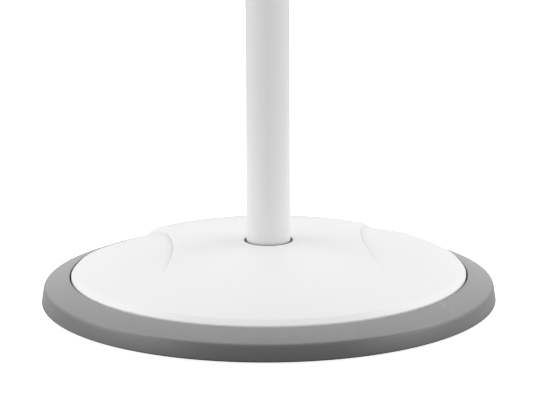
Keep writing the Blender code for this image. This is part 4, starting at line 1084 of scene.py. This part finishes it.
def makeDisplay():
    look = displayLook
    low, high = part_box("display_module")
    plate = low.y + 2.2 * mm
    addPiece("displayModule", blockMesh((low.x, plate, low.z), high, 0, edge=0.3 * mm),
             "display_glass", "head", ["display_module"])
    lit, dark = [], []
    for row in range(look["rows"]):
        for column in range(look["columns"]):
            shape = dotShapes.get(look["text"].get(column, "")) if row == 0 else None
            cellX = (column - (look["columns"] - 1) / 2) * look["cellStep"]
            cellZ = headMiddleZ + (0.5 - row) * look["rowStep"]
            for line in range(7):
                for spot in range(5):
                    place = (cellX + (spot - 2) * look["dotStep"], cellZ + (3 - line) * look["dotStep"])
                    (lit if shape and shape[line][spot] == "1" else dark).append(place)
    for name, places, paint in (("litDots", lit, "litPhosphor"), ("darkDots", dark, "darkPhosphor")):
        bm = dotMesh(places, look["dot"], plate - 0.06 * mm)
        piece = bpy.data.objects.new(name, meshFrom(bm, name))
        scene.collection.objects.link(piece)
        piece.data.materials.append(paints[paint])
        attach(piece, "head")
    # heater wires, stretched in front of the dots
    bm = bmesh.new()
    for offset in (-9, -4.5, 4.5, 9):
        rod = rodMesh(0.09 * mm, low.x + 6 * mm, high.x - 6 * mm,
                      (plate - 0.9 * mm, headMiddleZ + offset * mm), "X", 8)
        mesh = meshFrom(rod, "wire")
        bm.from_mesh(mesh)
    addPiece("heaterWires", bm, "zinc_steel", "head")
    bm = bmesh.new()
    for side in (-1, 1):
        mesh = meshFrom(blockMesh(*[Vector(c) for c in sorted(
            ((side * (high.x - 5 * mm), low.y + 0.4 * mm, headMiddleZ - 15 * mm),
             (side * (high.x - 3 * mm), plate - 0.1 * mm, headMiddleZ + 15 * mm)))]), "post")
        bm.from_mesh(mesh)
    facingOut(bm)
    addPiece("wirePosts", bm, "zinc_steel", "head")


def makeBoards():
    low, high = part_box("display_board")
    addPiece("displayBoard", blockMesh(low, high, 2 * mm, rounds=4, edge=0.15 * mm), "board_green", "head",
             ["display_board"])


def makeServiceCover():
    low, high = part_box("service_cover")
    door = addPiece("serviceCover", blockMesh(low, high, 1.7 * mm, rounds=6, edge=0.3 * mm),
                    "cover_white", "head",
                    ["service_cover"])
    screw = middleOf("service_screw")
    tools = [rodMesh(1.3 * mm, low.y - mm, high.y + mm, (screw.x, screw.z), "Y", 24)]
    for number in range(4):
        x = low.x + (4.5 + 2.0 * number) * mm
        tools.append(blockMesh((x - 0.45 * mm, high.y - 0.5 * mm, low.z + 4 * mm),
                               (x + 0.45 * mm, high.y + mm, high.z - 4 * mm), 0.4 * mm))
    carve(door, tools, ease=0.12 * mm)


def makePowerButton():
    low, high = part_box("power_button")
    middle = middleOf("power_button")
    move = Matrix.Translation((middle.x, 0, middle.z)) @ Matrix.Rotation(-math.pi / 2, 4, "X")
    corners = [(0, high.y - 0.35 * mm), (2.6 * mm, high.y - 0.2 * mm, 1.0 * mm), (4.1 * mm, high.y, 0.5 * mm),
               (4.8 * mm, high.y - 0.5 * mm, 0.4 * mm), (4.8 * mm, 19.1 * mm, 0.2 * mm),
               (6.4 * mm, 19.1 * mm, 0.3 * mm),
               (6.4 * mm, 17.6 * mm, 0.3 * mm), (2.0 * mm, 17.6 * mm, 0.2 * mm),
               (2.0 * mm, low.y, 0.3 * mm), (0, low.y)]
    turnedPiece("powerButton", corners, "rim_grey", "button", ["power_button"], 64, closed=False, move=move)


# port and lead
def makePort():
    low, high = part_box("port_socket")
    port = addPiece("portSocket", blockMesh(low, high, 1.6 * mm, rounds=10), "zinc_steel", "base",
                    ["port_socket"])
    middle = (low + high) / 2
    wall = 0.3 * mm
    inside = blockMesh((low.x + wall, low.y + 0.9 * mm, low.z + wall),
                       (high.x - wall, high.y + 2 * mm, high.z - wall),
                       1.3 * mm, rounds=10)
    carve(port, [inside], ease=0.08 * mm)
    tongue = blockMesh((-3.3 * mm, low.y + 0.5 * mm, middle.z - 0.35 * mm),
                       (3.3 * mm, high.y - 0.8 * mm, middle.z + 0.35 * mm),
                       0.3 * mm)
    addPiece("portTongue", tongue, "black_plastic", "base")
    bm = bmesh.new()
    for side in (-1, 1):
        for number in range(12):
            x = (number - 5.5) * 0.5 * mm
            bmesh.ops.create_cube(
                bm, size=1, matrix=Matrix.Translation((x, high.y - 3.2 * mm, middle.z + side * 0.36 * mm))
                @ Matrix.Diagonal((0.26 * mm, 4.0 * mm, 0.05 * mm, 1)))
    addPiece("portContacts", bm, "zinc_steel", "base")


# inside the foot and the pole
def makeBallast():
    low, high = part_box("ballast_plate")
    corners = [(20 * mm, low.z, 0.6 * mm), (20 * mm, high.z, 0.8 * mm), (high.x, high.z, 1.2 * mm),
               (high.x, low.z, 1.2 * mm)]
    plate = turnedPiece("ballastPlate", corners, "cast_iron", "base", ["ballast_plate"], 144)
    tools = [blockMesh((-4 * mm, 10 * mm, 2 * mm), (4 * mm, 104 * mm, 10 * mm))]
    for number in range(1, 5):
        tools.append(rodMesh(2.7 * mm, 5 * mm, 14 * mm, middleOf(f"socket_screw_{number}").xy, steps=32))
    carve(plate, tools, ease=0.3 * mm)


def makePoleSocket():
    low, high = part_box("pole_socket")
    bore = poleHigh.x + 0.3 * mm
    step = poleLow.z - 0.3 * mm
    flange = 17.8 * mm
    corners = [(10 * mm, low.z, 0.3 * mm), (10 * mm, step, 0.3 * mm), (bore, step, 0.2 * mm),
               (bore, high.z, 0.4 * mm), (17.5 * mm, high.z, 0.6 * mm), (17.5 * mm, flange, 1.2 * mm),
               (high.x, flange, 0.6 * mm), (high.x, low.z, 0.4 * mm)]
    socket = turnedPiece("poleSocket", corners, "zinc_steel", "base", ["pole_socket"], 112)
    screw = middleOf("set_screw")
    tools = [rodMesh(2.7 * mm, 11 * mm, 19 * mm, (0, screw.z), "X")]
    for number in range(1, 5):
        tools.append(rodMesh(2.8 * mm, 10 * mm, 20 * mm, middleOf(f"socket_screw_{number}").xy, steps=32))
    carve(socket, tools, ease=0.15 * mm)
    low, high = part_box("set_screw")
    radius, pitch = high.z - screw.z, 0.7 * mm
    corners = [(0, low.x), (radius - 0.9 * mm, low.x, 0.1 * mm), (radius - 0.35 * mm, low.x + 0.5 * mm)]
    for turn in range(5):
        start = low.x + 0.5 * mm + turn * pitch
        corners += [(radius, start + 0.35 * pitch), (radius - 0.35 * mm, start + pitch)]
    corners += [(radius - 0.35 * mm, high.x, 0.1 * mm), (0, high.x)]
    piece = turnedPiece("setScrew", corners, "zinc_steel", "base", ["set_screw"], 40, closed=False)
    carve(piece, [rodMesh(1.2 * mm, high.x - 1.6 * mm, high.x + mm, steps=6)], ease=0.06 * mm)
    piece.data.transform(Matrix.Translation((0, 0, screw.z)) @ Matrix.Rotation(math.pi / 2, 4, "Y"))


def makeInterfaceBoard():
    low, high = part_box("interface_board")
    addPiece("interfaceBoard", blockMesh(low, high, 1.2 * mm, "Z", 4, 0.12 * mm), "board_green", "base",
             ["interface_board"])
    chip = blockMesh((-10 * mm, 117.6 * mm, high.z + 0.05 * mm), (-6 * mm, 121.6 * mm, high.z + 0.85 * mm),
                     edge=0.12 * mm)
    addPiece("interfaceChip", chip, "black_plastic", "base")
    bm = bmesh.new()
    for number in range(6):
        place = Matrix.Translation(((number - 2.5) * 1.6 * mm, low.y + 1.3 * mm, high.z))
        bmesh.ops.create_uvsphere(bm, u_segments=12, v_segments=8, radius=0.5 * mm,
                                  matrix=place @ Matrix.Diagonal((1, 1, 0.5, 1)))
    addPiece("solderJoints", bm, "zinc_steel", "base")


def makeCollet():
    low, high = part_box("collet")
    inner = upperHigh.x + 0.3 * mm
    corners = [(inner, low.z, 0.2 * mm), (inner, high.z, 0.2 * mm), (11.9 * mm, high.z, 0.3 * mm),
               (12.2 * mm, 269 * mm, 0.8 * mm), (10.9 * mm, low.z, 0.15 * mm)]
    collet = turnedPiece("collet", corners, "black_plastic", "base", ["collet"], 96)
    slit = blockMesh((-0.8 * mm, 9 * mm, low.z - mm), (0.8 * mm, 14 * mm, high.z + mm))
    relief = rodMesh(1.3 * mm, 9 * mm, 14 * mm, (0, (low.z + high.z) / 2), "Y")
    carve(collet, [slit, relief], ease=0.12 * mm)


def makeGuidePlug():
    low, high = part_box("guide_plug")
    seat = upperLow.z - 0.3 * mm
    corners = [(6.5 * mm, low.z, 0.5 * mm), (6.5 * mm, high.z, 0.3 * mm), (8.2 * mm, high.z, 0.6 * mm),
               (8.2 * mm, seat, 0.2 * mm), (high.x, seat, 0.2 * mm), (high.x, low.z, 0.7 * mm)]
    plug = turnedPiece("guidePlug", corners, "black_plastic", "mast", ["guide_plug"], 96)
    flutes = [rodMesh(0.7 * mm, low.z - mm, seat + 0.1 * mm,
                      (high.x * math.cos(i * math.pi / 3), high.x * math.sin(i * math.pi / 3)), steps=20)
              for i in range(6)]
    carve(plug, flutes, ease=0.12 * mm)


def makeSwivelClip():
    low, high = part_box("swivel_clip")
    corners = [(5.7 * mm, low.z, 0.15 * mm), (5.7 * mm, high.z, 0.15 * mm), (high.x, high.z, 0.2 * mm),
               (high.x, low.z, 0.2 * mm)]
    clip = turnedPiece("swivelClip", corners, "zinc_steel", "neck", ["swivel_clip"], 72)
    tools = [blockMesh((-2.4 * mm, 0, low.z - mm), (2.4 * mm, 10 * mm, high.z + mm))]
    for side in (-1, 1):
        tools.append(rodMesh(0.4 * mm, low.z - mm, high.z + mm, (side * 3.3 * mm, 5.9 * mm), steps=20))
    carve(clip, tools, ease=0.1 * mm)


# leads
leadLook = {
    "radius": 2.25 * mm,
    "wire": 1.3 * mm,  # radius of the curly lead
    "coilPitch": 3.3 * mm,
    "coilLead": 9 * mm,  # length over which the coil opens at each end
    "stepsPerTurn": 16,
    "floorZ": 7.2 * mm,
    "bend": 10 * mm,
    "tiltBend": 9 * mm,  # reach of the bend on either side of the tilt axis
}


def leadMesh(points, radius, sides=3):
    # a round jacket along a route, closed at both ends
    curve = bpy.data.curves.new("route", "CURVE")
    curve.dimensions = "3D"
    curve.bevel_depth = radius
    curve.bevel_resolution = sides
    curve.use_fill_caps = True
    spline = curve.splines.new("POLY")
    spline.points.add(len(points) - 1)
    for spot, place in zip(spline.points, points):
        spot.co = (*place, 1)
    route = bpy.data.objects.new("route", curve)
    scene.collection.objects.link(route)
    graph = bpy.context.evaluated_depsgraph_get()
    mesh = bpy.data.meshes.new_from_object(route.evaluated_get(graph))
    bpy.data.objects.remove(route)
    bm = bmesh.new()
    bm.from_mesh(mesh)
    facingOut(bm)
    return bm


def makeLeads():
    look = leadLook
    radius, bend, level = look["radius"], look["bend"], look["floorZ"]
    low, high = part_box("base_lead")
    route = [(0, high.y - i * 4 * mm, level) for i in range(24)]
    for i in range(13):
        angle = math.pi / 2 * i / 12
        route.append((0, bend * (1 - math.sin(angle)), level + bend * (1 - math.cos(angle))))
    route += [(0, 0, z * mm) for z in (22, 30, 40)] + [(0, 0, high.z)]
    addPiece("baseLead", leadMesh(route, radius), "lead_grey", "base", ["base_lead"])
    low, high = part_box("coiled_lead")
    around = high.x - look["wire"]
    count = int((high.z - low.z) / look["coilPitch"]) * look["stepsPerTurn"]
    route = []
    for i in range(count + 1):
        z = low.z + (high.z - low.z) * i / count
        opened = easeBetween(0, look["coilLead"], z - low.z) * easeBetween(0, look["coilLead"], high.z - z)
        angle = 2 * math.pi * i / look["stepsPerTurn"]
        route.append((around * opened * math.cos(angle), around * opened * math.sin(angle), z))
    coil = addPiece("coiledLead", leadMesh(route, look["wire"], 2), "lead_grey", None, ["coiled_lead"], 60)
    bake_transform(coil)
    low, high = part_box("mast_lead")
    route = [(0.9 * mm * math.sin(math.pi * i / 15) * math.sin(i * 0.8), 0, low.z + (high.z - low.z) * i / 30)
             for i in range(31)]
    addPiece("mastLead", leadMesh(route, radius), "lead_grey", "mast", ["mast_lead"])
    low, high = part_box("neck_lead")
    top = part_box("head_lead")[1].z
    straight = 462 * mm
    route = [(0, 0, low.z + (straight - low.z) * i / 36) for i in range(36)]
    route += [(0, 2 * mm * easeBetween(0, 1, i / 12), straight + (top - straight) * i / 12)
              for i in range(13)]
    lead = addPiece("neckLead", leadMesh(route, radius, 4), "lead_grey", None, ["neck_lead", "head_lead"])
    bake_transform(lead)


# on the display board
def cubesMesh(places):
    # one small box for each (middle, size)
    bm = bmesh.new()
    for middle, size in places:
        bmesh.ops.create_cube(bm, size=1, matrix=Matrix.Translation(middle) @ Matrix.Diagonal((*size, 1)))
    return bm


def makeHeader():
    low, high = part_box("display_header")
    strip = low.y + 1.2 * mm
    addPiece("displayHeader", blockMesh((low.x, strip, low.z), high, edge=0.2 * mm), "black_plastic", "head",
             ["display_header"])
    pins = []
    for row in (-1, 1):
        for number in range(31):
            middle = ((number - 15) * 2.54 * mm, (low.y - 0.25 * mm + strip) / 2,
                      (low.z + high.z) / 2 + row * 1.27 * mm)
            pins.append((middle, (0.64 * mm, strip - low.y + 0.25 * mm, 0.64 * mm)))
    addPiece("headerPins", cubesMesh(pins), "zinc_steel", "head")


def makeBoardParts():
    low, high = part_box("board_connector")
    plug = addPiece("boardConnector", blockMesh(low, high, 0.5 * mm, "Y", 3, 0.2 * mm), "black_plastic",
                    "head",
                    ["board_connector"])
    slots = [blockMesh(((i - 2) * 2 * mm - 0.5 * mm, high.y - 0.9 * mm, low.z + 1.4 * mm),
                       ((i - 2) * 2 * mm + 0.5 * mm, high.y + mm, high.z - 2 * mm)) for i in range(5)]
    mouth = blockMesh((low.x + 1.2 * mm, low.y + 2 * mm, low.z - mm),
                      (high.x - 1.2 * mm, high.y - 1.5 * mm, low.z + 2 * mm))
    carve(plug, [*slots, mouth], ease=0.1 * mm)
    low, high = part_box("mode_switch_block")
    middle = (low + high) / 2
    block = addPiece("modeSwitchBlock", blockMesh(low, high, 0.4 * mm, "Y", 3, 0.2 * mm), "black_plastic",
                     "head",
                     ["mode_switch_block"])
    wells, sliders = [], []
    for number in range(6):
        x = middle.x + (number - 2.5) * 3 * mm
        wells.append(blockMesh((x - 0.8 * mm, high.y - 1.2 * mm, middle.z - 2.4 * mm),
                               (x + 0.8 * mm, high.y + mm, middle.z + 2.4 * mm)))
        shift = 1.2 * mm if number % 3 == 0 else -1.2 * mm
        sliders.append(((x, high.y - 0.75 * mm, middle.z + shift), (1.3 * mm, 0.8 * mm, 1.9 * mm)))
    carve(block, wells, ease=0.08 * mm)
    addPiece("modeSliders", cubesMesh(sliders), "cover_white", "head")
    low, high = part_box("button_switch")
    middle = (low + high) / 2
    face = low.y + 3.4 * mm
    addPiece("buttonSwitch", blockMesh(low, (high.x, face, high.z), 0.5 * mm, "Y", 3, 0.25 * mm),
             "black_plastic",
             "head", ["button_switch"])
    plunger = rodMesh(1.7 * mm, face + 0.02 * mm, high.y, (middle.x, middle.z), "Y", 40)
    edges = [e for e in plunger.edges
             if e.calc_face_angle(0) > math.radians(60) and e.verts[0].co.y > face + mm]
    bmesh.ops.bevel(plunger, geom=edges, offset=0.3 * mm, segments=3, profile=0.5, affect="EDGES",
                    material=-1)
    addPiece("switchPlunger", plunger, "rim_grey", "head")
    low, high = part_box("display_board")
    places = [(-60, 14, 10, 10), (-36, -14, 7, 5), (-18, 16, 5, 4), (24, 14, 14, 9), (30, -16, 6, 6),
              (58, 18, 5, 8)]
    chips = [((x * mm, high.y + 0.75 * mm, headMiddleZ + z * mm), (wide * mm, 1.4 * mm, tall * mm))
             for x, z, wide, tall in places]
    addPiece("boardChips", cubesMesh(chips), "black_plastic", "head")


makeCamera()
makeWorld()
makeStage()
print("stage ready")
makeCover()
makeRim()
makeFootUnderside()
makeSealAndGapShadow()
makePort()
makeBallast()
makePoleSocket()
makeInterfaceBoard()
print("foot ready")
makePoles()
makeLockSleeve()
makeCollar()
makeSwivelBase()
makeCollet()
makeGuidePlug()
makeLeads()
print("pole ready")
makeNeck()
makeBracket()
makeTiltPins()
makeSwivelClip()
print("neck ready")
makeRearShell()
makeBezel()
makeWindow()
makeDisplay()
makeBoards()
makeHeader()
makeBoardParts()
makeServiceCover()
makePowerButton()
makeScrews()
print("head ready")
